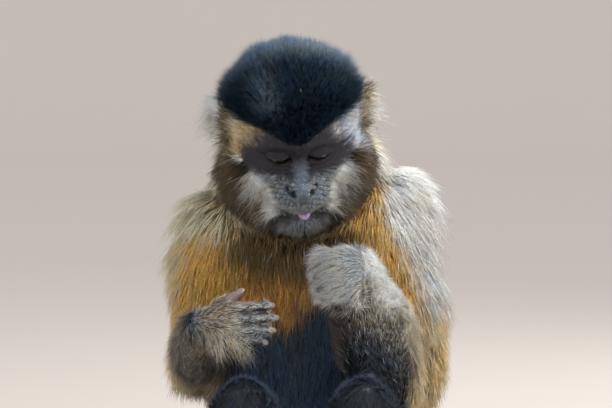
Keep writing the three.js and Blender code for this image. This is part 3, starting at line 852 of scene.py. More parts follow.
def face_relief(x, y, z):
    """How far the face stands out from its plain forms, as a sum of bells along one or two axes."""
    wide = np.abs(x)
    off_eye = wide - 14
    eye = np.hypot(off_eye / 1.3, z + 0.5)
    # Sockets, the brow over them, and the furrow between the brows.
    relief = -4.2 * np.exp(-(((wide - 14.5) / 9.5) ** 2) - ((z - 1.5) / 8) ** 2)
    relief += 1.3 * bell(z, 14 - 0.008 * off_eye**2, 5) * rise(33, 22, wide)
    relief += -0.9 * bell(x, 0, 1.8) * bell(z, 9, 5)
    # Three folds below each eye, the crease over it, and fine wrinkles on lids and forehead.
    relief += -0.7 * bell(eye, 8.8, 0.75) * rise(-1, -4, z) - 0.6 * bell(eye, 11.6, 0.9) * rise(0, -4, z)
    relief += -0.4 * bell(eye, 14.4, 0.9) * rise(-2, -6, z)
    relief += -0.8 * bell(z + 0.035 * off_eye**2, 7.6, 0.7) * bell(off_eye, 0, 9)
    lids = bell(off_eye, 0, 8) * rise(-2, 1, z)
    relief += 0.2 * np.sin(2 * math.pi * (z + 0.03 * off_eye**2) / 1.5) * lids * rise(9, 6, z)
    relief += 0.22 * np.sin(2 * math.pi * (z - 0.02 * wide**2) / 2.6) * rise(11, 14, z) * rise(26, 14, wide)
    # The wings of the nose, its slanting nostrils with their outer ends, and the grooves between and below
    # them and beside the nose.
    relief += 1.7 * np.exp(-(((wide - 8.2) / 2.2) ** 2) - ((z + 20.4) / 3.4) ** 2)
    aside, above = wide - 7.0, z + 22.0
    slant = aside * 0.82 + above * 0.57
    cross = above * 0.82 - aside * 0.57
    relief += -8.0 * np.exp(-((slant / 1.7) ** 2) - (cross / 2.9) ** 2)
    relief += -4.5 * np.exp(-(((wide - 9.2) / 1.7) ** 2) - ((z + 23.6) / 1.4) ** 2)
    relief += -0.9 * bell(x, 0, 1.3) * bell(z, -23, 4.5)
    relief += -1.3 * bell(z, -29.4, 1.7) * bell(x, 0, 8)
    relief += -1.1 * bell(wide, 12.4, 1.3) * bell(z, -21, 4)
    # The lips on both sides of the line between them, and the fold that runs down from the nose.
    lip = z - mouth_line(x)
    near = rise(22, 16, wide)
    relief += near * (-3.8 * bell(lip, 0, 0.9) + 0.9 * bell(lip, 2.3, 1.5) + 1.5 * bell(lip, -2.7, 1.9))
    fold = (wide - 11 + (z + 24) * 0.5) * 0.89
    relief += -1.1 * bell(fold, 0, 1.2) * rise(-50, -42, z) * rise(-20, -25, z)
    return relief * rise(-12, -20, y)


def head_surface():
    """The head as distances from its middle: a smooth maximum, log of the sum of exp, of its forms'
    distances. To that the face's relief is added, the lids as balls round the eyes, and a slit down to
    each eye. Rings and sides lie closest together on the face."""
    nod = crowded(math.pi, HEAD_RINGS + 2, lambda a: 1 + 1.7 * bell(a, 1.0, 0.45) + 0.8 * bell(a, 0.3, 0.3))
    turn = crowded(2 * math.pi, HEAD_SIDES + 1, lambda a: 1 + 1.1 * bell(a, math.pi / 2, 1.1))
    nod, turn = nod[1:-1, None, None], turn[None, :-1, None]
    aside = np.cos(turn) * np.array([1, 0, 0]) + np.sin(turn) * MUZZLE_UP
    ways = np.cos(nod) * MUZZLE_WAY + np.sin(nod) * aside
    total = sum(np.exp(reach(ways, form) / FORM_BLEND) for form in HEAD_FORMS)
    distance = FORM_BLEND * np.log(total)
    plain = HEAD_MIDDLE + ways * distance[..., None]
    distance = distance + face_relief(*np.moveaxis(plain, -1, 0))
    for sign in SIDES.values():
        # The closed lids over the eye, then the slit between them, with a low rim along each edge.
        x = plain[..., 0] * sign - EYE_SPACING
        z = plain[..., 2] - EYES_IN_HEAD[2]
        globe = np.append(eye_middle(sign), np.full(3, EYE_RADIUS + LID))
        wrinkle = 0.2 * np.sin(2 * math.pi * (z + 0.02 * x**2) / 1.6) * rise(0, 2, z)
        lids = reach(ways, globe) + wrinkle
        distance = np.maximum(distance, lids) + 0.25 * np.exp(-(np.abs(distance - lids) / 0.8))
        arc = np.clip(1 - (x / LIDS_HALF) ** 2, 0, None)
        over, under = SLIT_HEIGHT + 0.9 * arc, SLIT_HEIGHT - 2.6 * arc**0.8
        edge = np.minimum(z - under, over - z)
        near = rise(LIDS_HALF, 6.6, np.abs(x))
        distance = distance + near * (0.5 * bell(z - over, 0.7, 0.6) + 0.35 * bell(z - under, -0.7, 0.6))
        globe[3:] = EYE_RADIUS - SLIT_DEPTH
        slit = rise(-0.15, 0.35, edge) * near * (ways[..., 1] < 0)
        distance = distance + slit * (reach(ways, globe) - distance)
    return on_head(shell(HEAD_MIDDLE + ways * distance[..., None]))


EAR_AT = np.array([43.5, 8, 0.0])
EAR_SIZE = np.array([1.6, 12.5, 15.5])
EAR_TURN = 20  # degrees that an ear stands off the head behind


def ear_surface(sign):
    """An ear: a flat ellipsoid dished by the square of the distance from its middle, with a rolled rim."""
    nod, turn = ball_angles(26, 40)
    thick = EAR_SIZE[0] * np.cos(nod)
    back = EAR_SIZE[1] * np.sin(nod) * np.cos(turn)
    tall = EAR_SIZE[2] * np.sin(nod) * np.sin(turn)
    out = np.hypot(back / EAR_SIZE[1], tall / EAR_SIZE[2])
    dish = 4.0 * out**2 - 1.2 * rise(0.8, 1, out) - 0.6 * bell(out, 0.55, 0.12)
    grid = vectors(sign * (thick + dish), back + EAR_SIZE[1] * 0.6, tall)
    angle = math.radians(-sign * EAR_TURN)
    cosine, sine = math.cos(angle), math.sin(angle)
    swing = np.array([[cosine, sine, 0], [-sine, cosine, 0], [0, 0, 1]])
    return on_head(shell(grid @ swing + EAR_AT * [sign, 1, 1]))


def ear_root(sign):
    """The flesh that carries an ear: an ellipsoid between the skull and the ear's front edge."""
    return on_head(ball(EAR_AT * [sign, 1, 1] - [sign * 4, 0, 1], [7, 6.5, 9]))


BARE_HAND = 0.8  # how far a hand's or foot's skin lies inside its short hair
PALM_RINGS, DIGIT_RINGS, LINK_RINGS = 40, 34, 24
# Sections of palm and sole: their place forward, towards the thumb and out of the back, and half-sizes.
FLAT_PALM = [
    [-10, 0, 0, 11, 9],
    [2, 0, 0, 12.5, 9],
    [14, 0, 0, 15, 9],
    [26, 0, 0, 15.5, 8.5],
    [34, 0, -1, 14, 7],
]
BENT_PALM = [
    [-11, 0, 0, 18, 13],
    [-2, 0, 1, 21.5, 16],
    [8, 0, 1, 23, 16.5],
    [16, 0, 0, 21.5, 14],
    [23, 0, -2, 17, 10],
]
SOLE = [
    [-22, 0, 0, 12, 11],
    [-8, 0, 2, 13.5, 14],
    [8, 0, 3, 14, 15],
    [26, 0, 0, 15, 11],
    [42, 0, -1.5, 16.5, 8.5],
    [54, 0, -2.5, 14.5, 6.5],
]
# Where digits start, forward and out of the back, their bones' lengths, and their girth at each joint.
HAND_DIGITS = {"start": 29, "out": 0, "bones": [13, 9, 7], "girths": [4.8, 4.5, 4.1, 3.4]}
FOOT_DIGITS = {"start": 47, "out": -3, "bones": [19, 14, 11], "girths": [5.6, 5.4, 5, 4.2]}


def foot(sign):
    """A foot's measures, flat on the floor with its toes a little raised."""
    return {
        "wrist": [sign * 37, -68, 8],
        "along": [sign * 0.12, -1, 0],
        "back": [0, 0, 1],
        "depth": 1.2,
        "palm": SOLE,
        "digits": FOOT_DIGITS,
        "each": [
            [11, 3, 0.95, [-6, 8, 8]],
            [3.5, 0, 1.05, [-6, 8, 8]],
            [-4, -3, 1, [-6, 8, 8]],
            [-11, -7, 0.85, [-6, 8, 8]],
        ],
        "thumb": [-sign, [26, 12, -3], [0.72, 0.66, -0.02], [15, 13], [2, 4], [6.2, 5.8, 4.8]],
    }


# Hands and feet: the wrist or ankle, the way to the digits, the way that the back faces, how far the skin
# lies inside the hair there, the palm or sole, and the digits. Each digit has its place across, the
# degrees that it is splayed by, its scale and the degrees that each joint is bent by. The thumb or big
# toe has its side, its start and way in the paw's own axes, and its bones, bends and girths.
PAWS = {
    "hand_right": {
        "wrist": [-72, -92, 152],
        "along": [24, -15, 4],
        "back": [-0.5, -0.86, 0.1],
        "depth": 1.2,
        "palm": FLAT_PALM,
        "digits": HAND_DIGITS,
        "each": [
            [11.5, 0, 1.05, [40, 22, 8]],
            [3.8, -1, 1.12, [42, 16, 10]],
            [-3.6, -3, 1.05, [44, 18, 10]],
            [-10.6, -6, 0.85, [46, 20, 12]],
        ],
        "thumb": [1, [17, 13, -2], [0.86, 0.45, -0.25], [11, 9], [8, 10], [5.2, 4.8, 4]],
    },
    "hand_left": {
        "wrist": [37, -85, 188],
        "along": [-28, -9, 2],
        "back": [0.05, -0.92, 0.4],
        "depth": 4.6,
        "palm": BENT_PALM,
        "digits": {**HAND_DIGITS, "start": 17},
        "each": [
            [12, 2, 0.95, [62, 70, 48]],
            [4, 0, 1, [64, 72, 48]],
            [-4, -2, 0.95, [66, 72, 48]],
            [-11.5, -4, 0.8, [70, 70, 48]],
        ],
        "thumb": [-1, [9, 13, -8], [0.72, 0.42, -0.55], [12, 10], [12, 14], [5.6, 5.2, 4.4]],
    },
    **{f"foot_{side}": foot(sign) for side, sign in SIDES.items()},
}


def digit(base, way, axis, across, bones, curls, girths):
    """One finger, thumb or toe as a tube over its bones, each turned further about the axis, with swollen
    knuckles. Also its tip, the way it points there and its girth there."""
    knots = [base - 6 * way]
    at = base
    for bone_length, curl in zip(bones, curls):
        knots.append(at)
        way = turned(way, axis, curl)
        at = at + way * bone_length
    knots.append(at)
    along = eased(len(knots) - 1, DIGIT_RINGS)
    girth = np.interp(along, np.arange(len(knots)), [girths[0], *girths]) - BARE_HAND
    knuckles = sum(bell(along, joint, 0.22) for joint in range(2, len(knots) - 1))
    girth = girth * (0.97 + 0.1 * knuckles)
    return tube(spline(knots, along), girth, girth * 0.94, across, 16), (at, way, girths[-1] - BARE_HAND)


def paw_axes(name):
    """A hand's or foot's wrist, and its axes: towards the knuckles, towards the thumb, out of its back."""
    shape = PAWS[name]
    along = unit(shape["along"])
    back = np.array(shape["back"], float)
    back = unit(back - along * (back @ along))
    thumbward = unit(np.cross(back, along)) * shape["thumb"][0]
    return np.array(shape["wrist"], float), np.array([along, thumbward, back])


def paw(name):
    """A hand or foot as closed tubes for palm and digits, and each nail's place: tip, way, girth, back."""
    shape = PAWS[name]
    wrist, axes = paw_axes(name)
    along, across, back = axes
    palm = spline(shape["palm"], eased(len(shape["palm"]) - 1, PALM_RINGS))
    wide, deep = (palm[:, 3:] - shape["depth"]).T
    tubes = [tube(wrist + palm[:, :3] @ axes, wide, deep, across, 28)]
    nails = []
    curl_axis = -unit(np.cross(along, back))
    digits = shape["digits"]
    side, thumb_start, thumb_way, *thumb = shape["thumb"]
    rows = []
    for aside, splay, scale, curls in shape["each"]:
        start = [digits["start"], aside, digits["out"]]
        bones = [length * scale for length in digits["bones"]]
        rows.append((start, turned(along, back, splay * side), back, bones, curls, digits["girths"]))
    rows.append((thumb_start, unit(np.array(thumb_way) @ axes), back + 0.4 * across, *thumb))
    for start, way, facing, bones, curls, girths in rows:
        base = wrist + np.array(start) @ axes
        surface, tip = digit(base, way, curl_axis, across + back, bones, curls, girths)
        tubes.append(surface)
        nails.append((*tip, turned(facing, curl_axis, sum(curls))))
    return tubes, nails


def fuse(piece, cell, rounds):
    """Fuses overlapping surfaces on a grid of cells of a size in millimetres, and smooths the result."""
    apply(piece, "REMESH", mode="VOXEL", voxel_size=cell * MM)
    apply(piece, "SMOOTH", factor=0.5, iterations=rounds)


def paw_object(name):
    """A hand or foot fused into one surface, with its sole cut level a little above the floor."""
    piece = surface_object(name, paw(name)[0])
    fuse(piece, PAW_CELL, 3)
    points = points_of(piece)
    points[:, 2] = np.maximum(points[:, 2], 0.3 + 0.02 * points[:, 2])
    move_points(piece, points)
    return piece


def find_links():
    """Short lengths of flesh under the coat that join what the frame keeps apart, each from, to and
    radius: two from the head to the neck, and one from each shin and forearm to its foot or hand."""
    low = BONES["neck"][1]
    links = [
        (from_head(np.array([0, 4, -14.0])), low + [0, 0, -14], 30),
        (from_head(np.array([0, -4, -30.0])), low + [0, -6, -6], 24),
    ]
    for side in SIDES:
        for upper, lower, radius in (("shin", "foot", 9.5), ("forearm", "hand", 8.5)):
            start, end, _ = BONES[f"{upper}_{side}"]
            links.append(((start + end) / 2, paw_axes(f"{lower}_{side}")[0], radius))
    return links


FLESH = ["trunk", "neck", *(node for chain in LIMBS for node in chain if node not in PAWS)]
SWELLING = 0.6  # how far the frame's solids are swollen so that they touch
FLOOR_GAP = 0.5  # the lowest that the skin of the body comes to the floor
NARROWED = 1.8  # how far the right shoulder is drawn in besides
PAW_CELL, BODY_CELL, SKIN_CELL = 0.95, 2.2, 1.9  # sizes of the cells on which surfaces are fused
KEPT_FACES = 0.35


def body_object():
    """Trunk, neck, limbs and tail as one surface: the frame's solids swollen until they touch, fused on a
    grid of small cells, smoothed, and drawn in along their normals by the depth of the coat."""
    solids = [cad_solid(node) for node in FLESH]
    piece = surface_object("body", [(swollen(points, tris, SWELLING), tris) for points, tris in solids])
    fuse(piece, BODY_CELL, 8)
    for _ in range(2):
        points = points_of(piece)
        normals = normals_of(piece)
        x, _, z = points.T
        aside, _, up = normals.T
        # The left arm's outer side stays where it is, and the right shoulder is drawn in a little more.
        full = np.clip(aside, 0, 1) * rise(50, 70, x) * rise(195, 160, z)
        narrow = np.clip(-aside, 0, 1) * rise(-55, -75, x) * rise(203, 213, z)
        depth = (coat_depth(describe(points)) / 2 + 0.3) * (1 - 0.5 * np.clip(up, 0, 1)) * (1 - full)
        drawn = points - normals * (depth + NARROWED * narrow)[:, None]
        drawn[:, 2] = np.maximum(drawn[:, 2], FLOOR_GAP)
        move_points(piece, drawn)
        apply(piece, "SMOOTH", factor=0.5, iterations=5)
    links = []
    for start, end, radius in find_links():
        middles = start + (end - start) * np.linspace(0, 1, LINK_RINGS)[:, None]
        girth = np.full(LINK_RINGS, float(radius))
        links.append(tube(middles, girth, girth, np.array([1, 0.1, 0]), 24))
    join(piece, surface_object("links", links))
    fuse(piece, SKIN_CELL, 6)
    apply(piece, "DECIMATE", ratio=KEPT_FACES)
    return piece


def set_colours(piece, colours):
    """Stores a colour for each point as the attribute tone."""
    attribute = piece.data.color_attributes.new("tone", "FLOAT_COLOR", "POINT")
    opaque = np.column_stack([colours, np.ones(len(colours))])
    attribute.data.foreach_set("color", opaque.astype(np.float32).ravel())


def build_skin():
    """The whole skin as one closed surface: head, ears, hands and feet joined to the body."""
    skin = body_object()
    skin.name = "skin"
    unite(skin, surface_object("head_skin", [head_surface()]))
    for sign in SIDES.values():
        unite(skin, surface_object("ear_root", [ear_root(sign)]))
        unite(skin, surface_object("ear_skin", [ear_surface(sign)]))
    for name in PAWS:
        unite(skin, paw_object(name))
    skin.data.shade_smooth()
    set_colours(skin, describe(points_of(skin))["skin"])
    skin.data.materials.clear()
    skin.data.materials.append(skin_material())
    place(skin, "ear", *FLESH, *PAWS, "head", "ear_right", "ear_left")


# ---- Coat ----

FACE_REGIONS = ("orbit", "nose", "muzzle", "lips", "temple", "temple_left", "ear")
# Each piece of the coat: its regions, its number of tufts, their rings, its slot, and where it grows.
COATS = {
    "coat_cap": (("cap", "crown"), 44000, 1, "cap", "head"),
    "coat_face": (FACE_REGIONS, 36000, 1, "back", "head"),
    "coat_cheeks": (("cheek", "beard"), 28000, 1, "back", "head"),
    "coat_ruff": (("ruff", "ruff_high"), 14500, 2, "back", "head"),
    "coat_mantle": (("nape", "neck", "shoulder", "shoulder_left"), 17500, 2, "back", "body"),
    "coat_chest": (("throat", "chest", "belly"), 15500, 2, "chest", "body"),
    "coat_back": (("back",), 10500, 2, "back", "body"),
    "coat_arms": (ARM_REGIONS, 17500, 2, "limb", "limbs"),
    "coat_forearms": (("forearm", "under", "fringe", "wrist"), 28000, 1, "limb", "limbs"),
    "coat_hands": (("hand", "fist", "cuff", "fingers", "foot"), 34000, 1, "hand", "limbs"),
    "coat_legs": (("thigh", "shin"), 17000, 1, "leg", "limbs"),
    "coat_tail": (("tail",), 9000, 1, "tail", "limbs"),
}
FIRST_SEED = 11
RING_WIDTHS = {1: (1.0, 0), 2: (0.85, 0.9, 0)}  # of a tuft, from root to tip, by its number of rings
ROOT_DEPTH = 0.5  # how far inside the skin a tuft starts
SPREAD = 0.16  # how much the lean and the lift of single tufts vary
LENGTHS, WIDTHS = (0.68, 1.14), (0.75, 1.2)  # range of single tufts, in shares of the region's own
PULLS = 0.35, 0.75  # how much of the way to its clump's centre a tuft's tip is drawn
SWEEP = 0.25  # how much of its length a hair of 25 mm sinks under its own weight
LOWEST_HAIR = 0.25  # height over the floor
PATCH = 0.003  # side of a tuft's place in the unwrap
MARGIN = 0.02  # of a cell of the unwrap, which stays empty
LEAST_TONE, MOST_TONE = 0.003, 0.95
# Large numbers that mix a cell's three counts and a seed into a key, and the key into three numbers.
CELL_KEYS = np.array([73856093, 19349663, 83492791])
SEED_KEY = 2654435761
JITTER_KEYS = (2246822519, 3266489917, 668265263)
KEY_MASK = 0xFFFFFFFF


def scattered(skin, found, regions, count, rng):
    """Roots at random over the skin, with its normals: by the area of its triangles and by how thick the
    regions grow there. In its triangle a root lies evenly, by the square root of a random share."""
    points, normals = points_of(skin), normals_of(skin)
    tris = triangles_of(skin.data)
    a, b, c = (points[tris[:, i]] for i in range(3))
    area = np.linalg.norm(np.cross(b - a, c - a), axis=1)
    chosen = found["shares"][:, [REGION_NAMES.index(name) for name in regions]]
    growth = np.array([bpy.context.scene.capuchin_hair[name].growth for name in regions])
    weight = area * ((chosen @ growth) * (1 - found["bare"]))[tris].mean(axis=1)
    picked = tris[rng.choice(len(tris), count, p=weight / weight.sum())]
    first = np.sqrt(rng.random(count))
    second = rng.random(count)
    shares = np.stack([1 - first, first * (1 - second), first * second], -1)[..., None]
    return (points[picked] * shares).sum(axis=1), unit((normals[picked] * shares).sum(axis=1))


def clump_centres(points, size, seed):
    """For each point the nearest of random centres, one in each cell of a grid of the given size."""
    cells = np.floor(points / size).astype(np.int64)
    best = np.full(len(points), np.inf)
    nearest = points.copy()
    for step in np.ndindex(3, 3, 3):
        cell = cells + np.array(step) - 1
        key = (cell @ CELL_KEYS + seed * SEED_KEY) & KEY_MASK
        jitter = np.stack([((key * odd) & KEY_MASK) / 2**32 for odd in JITTER_KEYS], -1)
        centre = (cell + jitter) * size
        gap = np.linalg.norm(centre - points, axis=1)
        nearer = gap < best
        best[nearer] = gap[nearer]
        nearest[nearer] = centre[nearer]
    return nearest


def unwrap(points, found):
    """Each point's place on an unwrap of the skin, in a cell of a square. The head has one cell, as an
    equal-area disc round the muzzle, and so has each bone, by the turn about it and the way along it."""
    part = np.where(found["headed"] > 0.5, len(BONE_NAMES), bone_shares(points).argmax(axis=1))
    present, cell = np.unique(part, return_inverse=True)
    columns = math.ceil(math.sqrt(len(present)))
    spot = np.zeros((len(points), 2))
    away = unit(found["head"] - HEAD_MIDDLE)
    radius = np.sqrt(np.clip((1 - away @ MUZZLE_WAY) / 2, 0, 1))
    angle = np.arctan2(away @ MUZZLE_UP, away[:, 0])
    head = part == len(BONE_NAMES)
    spot[head] = (0.5 + 0.5 * radius[:, None] * np.stack([np.cos(angle), np.sin(angle)], -1))[head]
    for index, (name, (start, end, girth)) in enumerate(BONES.items()):
        mine = part == index
        way = BONE_WAYS[name]
        one = unit(np.cross(way, [0.31, 0.95, 0.05]))
        other = np.cross(way, one)
        off = points[mine] - start
        long = np.linalg.norm(end - start) + 2 * girth
        turn = np.arctan2(off @ other, off @ one) / (2 * math.pi) + 0.5
        spot[mine] = np.stack([turn, np.clip((off @ way + girth) / long, 0, 1)], -1)
    corner = np.stack([cell % columns, cell // columns], -1)
    return (corner + MARGIN + spot * (1 - 2 * MARGIN)) / columns


def tuft_faces(count, rings):
    """Faces of tufts that have rings of three points and a point at the tip: quads and triangles."""
    ring = np.array([[0, 1, 4, 3], [1, 2, 5, 4], [2, 0, 3, 5]])
    quads = (ring + 3 * np.arange(rings - 1)[:, None, None]).reshape(-1, 4)
    tip = 3 * (rings - 1) + np.array([[0, 1, 3], [1, 2, 3], [2, 0, 3]])
    tris = np.concatenate([[[0, 2, 1]], tip])
    start = np.arange(count)[:, None, None] * (3 * rings + 1)
    return (start + quads).reshape(-1, 4), (start + tris).reshape(-1, 3)


def tufts(name, roots, normals, rings, seed):
    """Tufts of hair as curved, closed, three-sided spikes. Each starts just under the skin, leans along the
    lie of the coat, flattens towards its tip, sinks by the square of its length, and is drawn towards the
    centre of its clump."""
    rng = np.random.default_rng(seed)
    found = describe(roots)
    count = len(roots)
    # The way that each tuft leans, swung to either side from tuft to tuft and in waves.
    lie = unit(without(found["lie"], normals) + 1e-3)
    side = np.cross(normals, lie)
    loose = np.clip(found["length"] / 20, 0.3, 1)
    waves = 0.26 * ripple(roots, 26, seed) + 0.22 * ripple(roots, 9, seed + 1)
    swing = rng.normal(0, SPREAD, count) + loose * waves
    lie = lie * np.cos(swing)[:, None] + side * np.sin(swing)[:, None]
    side = np.cross(normals, lie)
    # Its measures, and the way to the centre of its clump.
    ragged = 0.16 + 0.16 * rise(0.7, 1, found["lift"])
    length = found["length"] * rng.uniform(*LENGTHS, count)
    length = length * (1 + 0.12 * ripple(roots, 14, seed + 2) + ragged * ripple(roots, 3, seed + 7))
    lift = found["lift"] * (1 + rng.normal(0, SPREAD, count) + 0.12 * ripple(roots, 11, seed + 3))
    half = found["width"] / 2 * rng.uniform(*WIDTHS, count)
    clump = without(clump_centres(roots, 2.2 + 0.16 * found["length"].mean(), seed) - roots, normals)
    pull = rng.uniform(*PULLS, count)
    # Its points, ring by ring from the root.
    shares = np.append(np.arange(rings) / rings, 1)
    at = roots - normals * ROOT_DEPTH
    body = np.empty((count, 3 * rings + 1, 3))
    for index, share in enumerate(shares):
        if index:
            step = (share - shares[index - 1]) * length
            angle = lift * (1.35 - 0.75 * (share + shares[index - 1]) / 2)
            at = at + (lie * np.cos(angle)[:, None] + normals * np.sin(angle)[:, None]) * step[:, None]
        here = at + clump * (pull * share**1.5)[:, None]
        here[:, 2] -= SWEEP * length * np.clip(length / 25, 0, 1.2) * share**2
        wide = (half * RING_WIDTHS[rings][index])[:, None]
        if index == rings:
            body[:, -1] = here
        else:
            body[:, 3 * index] = here - side * wide - normals * wide * 0.25
            body[:, 3 * index + 1] = here + side * wide - normals * wide * 0.25
            body[:, 3 * index + 2] = here + normals * wide * 0.6
    body[..., 2] = np.maximum(body[..., 2], LOWEST_HAIR)
    piece = mesh_object(name, body.reshape(-1, 3), *tuft_faces(count, rings))
    level = np.append(np.repeat(shares[:-1], 3), 1)
    paint_coat(piece, roots, found, level, rng, seed)
    place_coat(piece, unwrap(roots, found), level, rings)
    return piece


def paint_coat(piece, roots, found, level, rng, seed):
    """Colours the tufts from root to tip: some pale, the rest varied from hair to hair and in patches."""
    count = len(roots)
    shade = 1 + 0.14 * rng.normal(size=count) + 0.12 * ripple(roots, 12, seed + 4)
    shade = np.clip(shade, 0.5, 1.5)[:, None]
    warm = 0.16 * ripple(roots, 19, seed + 6) + 0.07 * rng.normal(size=count)
    shade = shade * (1 + np.clip(warm, -0.4, 0.4)[:, None] * [0.6, 0, -1])
    pale = (rng.random(count) < found["pale"] * (0.7 + 0.5 * ripple(roots, 10, seed + 5)))[:, None]
    root = found["root"] * shade * np.where(pale, 1.3, 1)
    tip = np.where(pale, PALE_HAIR * (0.55 + 0.45 * rng.random((count, 1))), found["tip"] * shade)
    blend = (level**0.8)[None, :, None]
    colours = root[:, None] * (1 - blend) + tip[:, None] * blend
    set_colours(piece, np.clip(colours, LEAST_TONE, MOST_TONE).reshape(-1, 3))


def place_coat(piece, places, level, rings):
    """Lays each tuft out in the map OFBake as a patch at its root's place in the unwrap."""
    across = np.append(np.tile([-0.5, 0.5, 0], rings), 0)
    offsets = PATCH * np.stack([across, level - 0.5], -1)
    corners = np.clip(places[:, None] + offsets[None], 0, 1).reshape(-1, 2)
    which = np.empty(len(piece.data.loops), np.int32)
    piece.data.loops.foreach_get("vertex_index", which)
    layer = piece.data.uv_layers.new(name="OFBake")
    layer.uv.foreach_set("vector", corners[which].astype(np.float32).ravel())


def build_coat(name):
    """One piece of the coat over the skin."""
    regions, count, rings, slot, _ = COATS[name]
    skin = bpy.data.objects["skin"]
    seed = FIRST_SEED + list(COATS).index(name)
    rng = np.random.default_rng(seed)
    roots, normals = scattered(skin, describe(points_of(skin)), regions, count, rng)
    piece = tufts(name, roots, normals, rings, seed)
    piece.data.materials.append(fur_material("cap_fur" if name == "coat_cap" else "fur"))
    place(piece, slot)


# ---- Eyes, tongue and nails ----

# Edges of iris and pupil and spread of the cornea, in degrees from the way that the eye looks.
IRIS_EDGE = 32
PUPIL_EDGE = 12
CORNEA_SPREAD = 30
CORNEA_HEIGHT = 0.6
GAZE = unit([0, -1, -0.38])  # the way that the eyes look, in the head's own axes


def build_eyes():
    """Two eyeballs: balls with a cornea, CORNEA_HEIGHT exp(-(a/CORNEA_SPREAD)^4), where a is the angle in
    degrees from the way that the eye looks, and with iris and pupil painted by that angle."""
    looks = bpy.context.scene.capuchin_face
    iris, white = np.array(looks.iris), np.array(looks.eye_white)
    surfaces, colours = [], []
    for sign in SIDES.values():
        middle = from_head(eye_middle(sign))
        points, *faces = ball(middle, [EYE_RADIUS - 0.4] * 3, 60, 80)
        away = unit(points - middle)
        angle = np.degrees(np.arccos(np.clip(away @ (GAZE @ HEAD_AXES), -1, 1)))
        cornea = CORNEA_HEIGHT * np.exp(-((angle / CORNEA_SPREAD) ** 4))
        surfaces.append((points + away * cornea[:, None], *faces))
        fibre = 1 + 0.3 * ripple(away * 40, 5, 3)[:, None]
        ring = rise(IRIS_EDGE + 2, IRIS_EDGE - 1, angle)[:, None]
        colour = white * (1 - ring) + iris * fibre * ring * (1 - 0.6 * bell(angle, IRIS_EDGE, 3))[:, None]
        colours.append(colour * (1 - 0.95 * rise(PUPIL_EDGE + 1, PUPIL_EDGE - 1, angle))[:, None])
    piece = surface_object("eyes", surfaces)
    set_colours(piece, np.clip(np.concatenate(colours), 0.002, 1))
    piece.data.materials.append(eye_material())
    place(piece, "eye", "eye_right", "eye_left")


def build_tongue():
    """The tip of the tongue between the lips: an ellipsoid with a groove, 0.5 mm exp(-(x/0.8)^2), along its
    middle, that droops by the square of its distance beyond the lips."""
    points, *faces = ball([0, 0, 0], [4.7, 6.5, 2.0], 60, 64)
    x, y, z = points.T
    z = z - 0.5 * bell(x, 0, 0.8) * rise(-0.2, 0.6, z) - 0.03 * np.clip(-y, 0, None) ** 2 + 0.02 * x**2
    z = z + 0.05 * ripple(points, 0.9, 5)
    local = vectors(x, y, z) + TONGUE_IN_HEAD + [0, 3.2, -0.4]
    piece = surface_object("tongue_tip", [on_head((local, *faces))])
    piece.data.materials.append(tongue_material())
    place(piece, "tongue", "tongue")


def build_nails():
    """A nail on each finger and toe: a flat ellipsoid, bent over the digit's end by its width squared."""
    surfaces = []
    for name in PAWS:
        for tip, way, girth, back in paw(name)[1]:
            back = unit(back - way * (way @ back))
            points, *faces = ball([0, 0, 0], [girth * 0.72, girth * 1.05, girth * 0.17], 20, 28)
            x, y, z = points.T
            z = z - 0.3 * x**2 / girth - 0.18 * np.clip(y, 0, None) ** 2 / girth
            local = vectors(y - girth * 0.45, x, z + girth * 0.86)
            surfaces.append((tip + local @ np.array([way, np.cross(way, back), back]), *faces))
    piece = surface_object("nails", surfaces)
    piece.data.materials.append(nail_material())
    place(piece, "ear")


# ---- Materials ----


def add_node(tree, kind, *inputs, **settings):
    """A new node with the given settings. Its inputs are pairs of the input's name or number, and a value
    or the output that it is linked to."""
    node = tree.nodes.new("ShaderNode" + kind)
    for key, value in settings.items():
        setattr(node, key, value)
    for key, value in inputs:
        if isinstance(value, bpy.types.NodeSocket):
            tree.links.new(value, node.inputs[key])
        else:
            node.inputs[key].default_value = value
    return node


GRAIN_INPUTS = {"Vector": "Vector", "Colour": "Color", "Size": "Float", "Amount": "Float"}
GRAIN_OUTPUTS = {"Colour": "Color", "Height": "Float"}
GRAIN_DETAIL = 3
GRAIN_RANGE = 0.3, 0.7  # what is taken as the lowest and the highest noise


def grain_group():
    """Colour variation from strand to strand: noise of the given size brightens and darkens the colour."""
    group = bpy.data.node_groups.get("strand_grain")
    if group:
        return group
    group = bpy.data.node_groups.new("strand_grain", "ShaderNodeTree")
    for way, sockets in (("INPUT", GRAIN_INPUTS), ("OUTPUT", GRAIN_OUTPUTS)):
        for name, kind in sockets.items():
            group.interface.new_socket(name, in_out=way, socket_type="NodeSocket" + kind)
    given = group.nodes.new("NodeGroupInput").outputs
    result = group.nodes.new("NodeGroupOutput").inputs
    scale = add_node(group, "Math", (0, 1), (1, given["Size"]), operation="DIVIDE").outputs[0]
    grain = ("Vector", given["Vector"]), ("Scale", scale), ("Detail", GRAIN_DETAIL)
    noise = add_node(group, "TexNoise", *grain).outputs["Fac"]
    low = add_node(group, "Math", (0, 1), (1, given["Amount"]), operation="SUBTRACT").outputs[0]
    high = add_node(group, "Math", (0, 1), (1, given["Amount"]), operation="ADD").outputs[0]
    limits = ("From Min", GRAIN_RANGE[0]), ("From Max", GRAIN_RANGE[1]), ("To Min", low), ("To Max", high)
    spread = add_node(group, "MapRange", ("Value", noise), *limits).outputs["Result"]
    tint = add_node(group, "VectorMath", (0, given["Colour"]), ("Scale", spread), operation="SCALE")
    group.links.new(tint.outputs["Vector"], result["Colour"])
    group.links.new(noise, result["Height"])
    return group


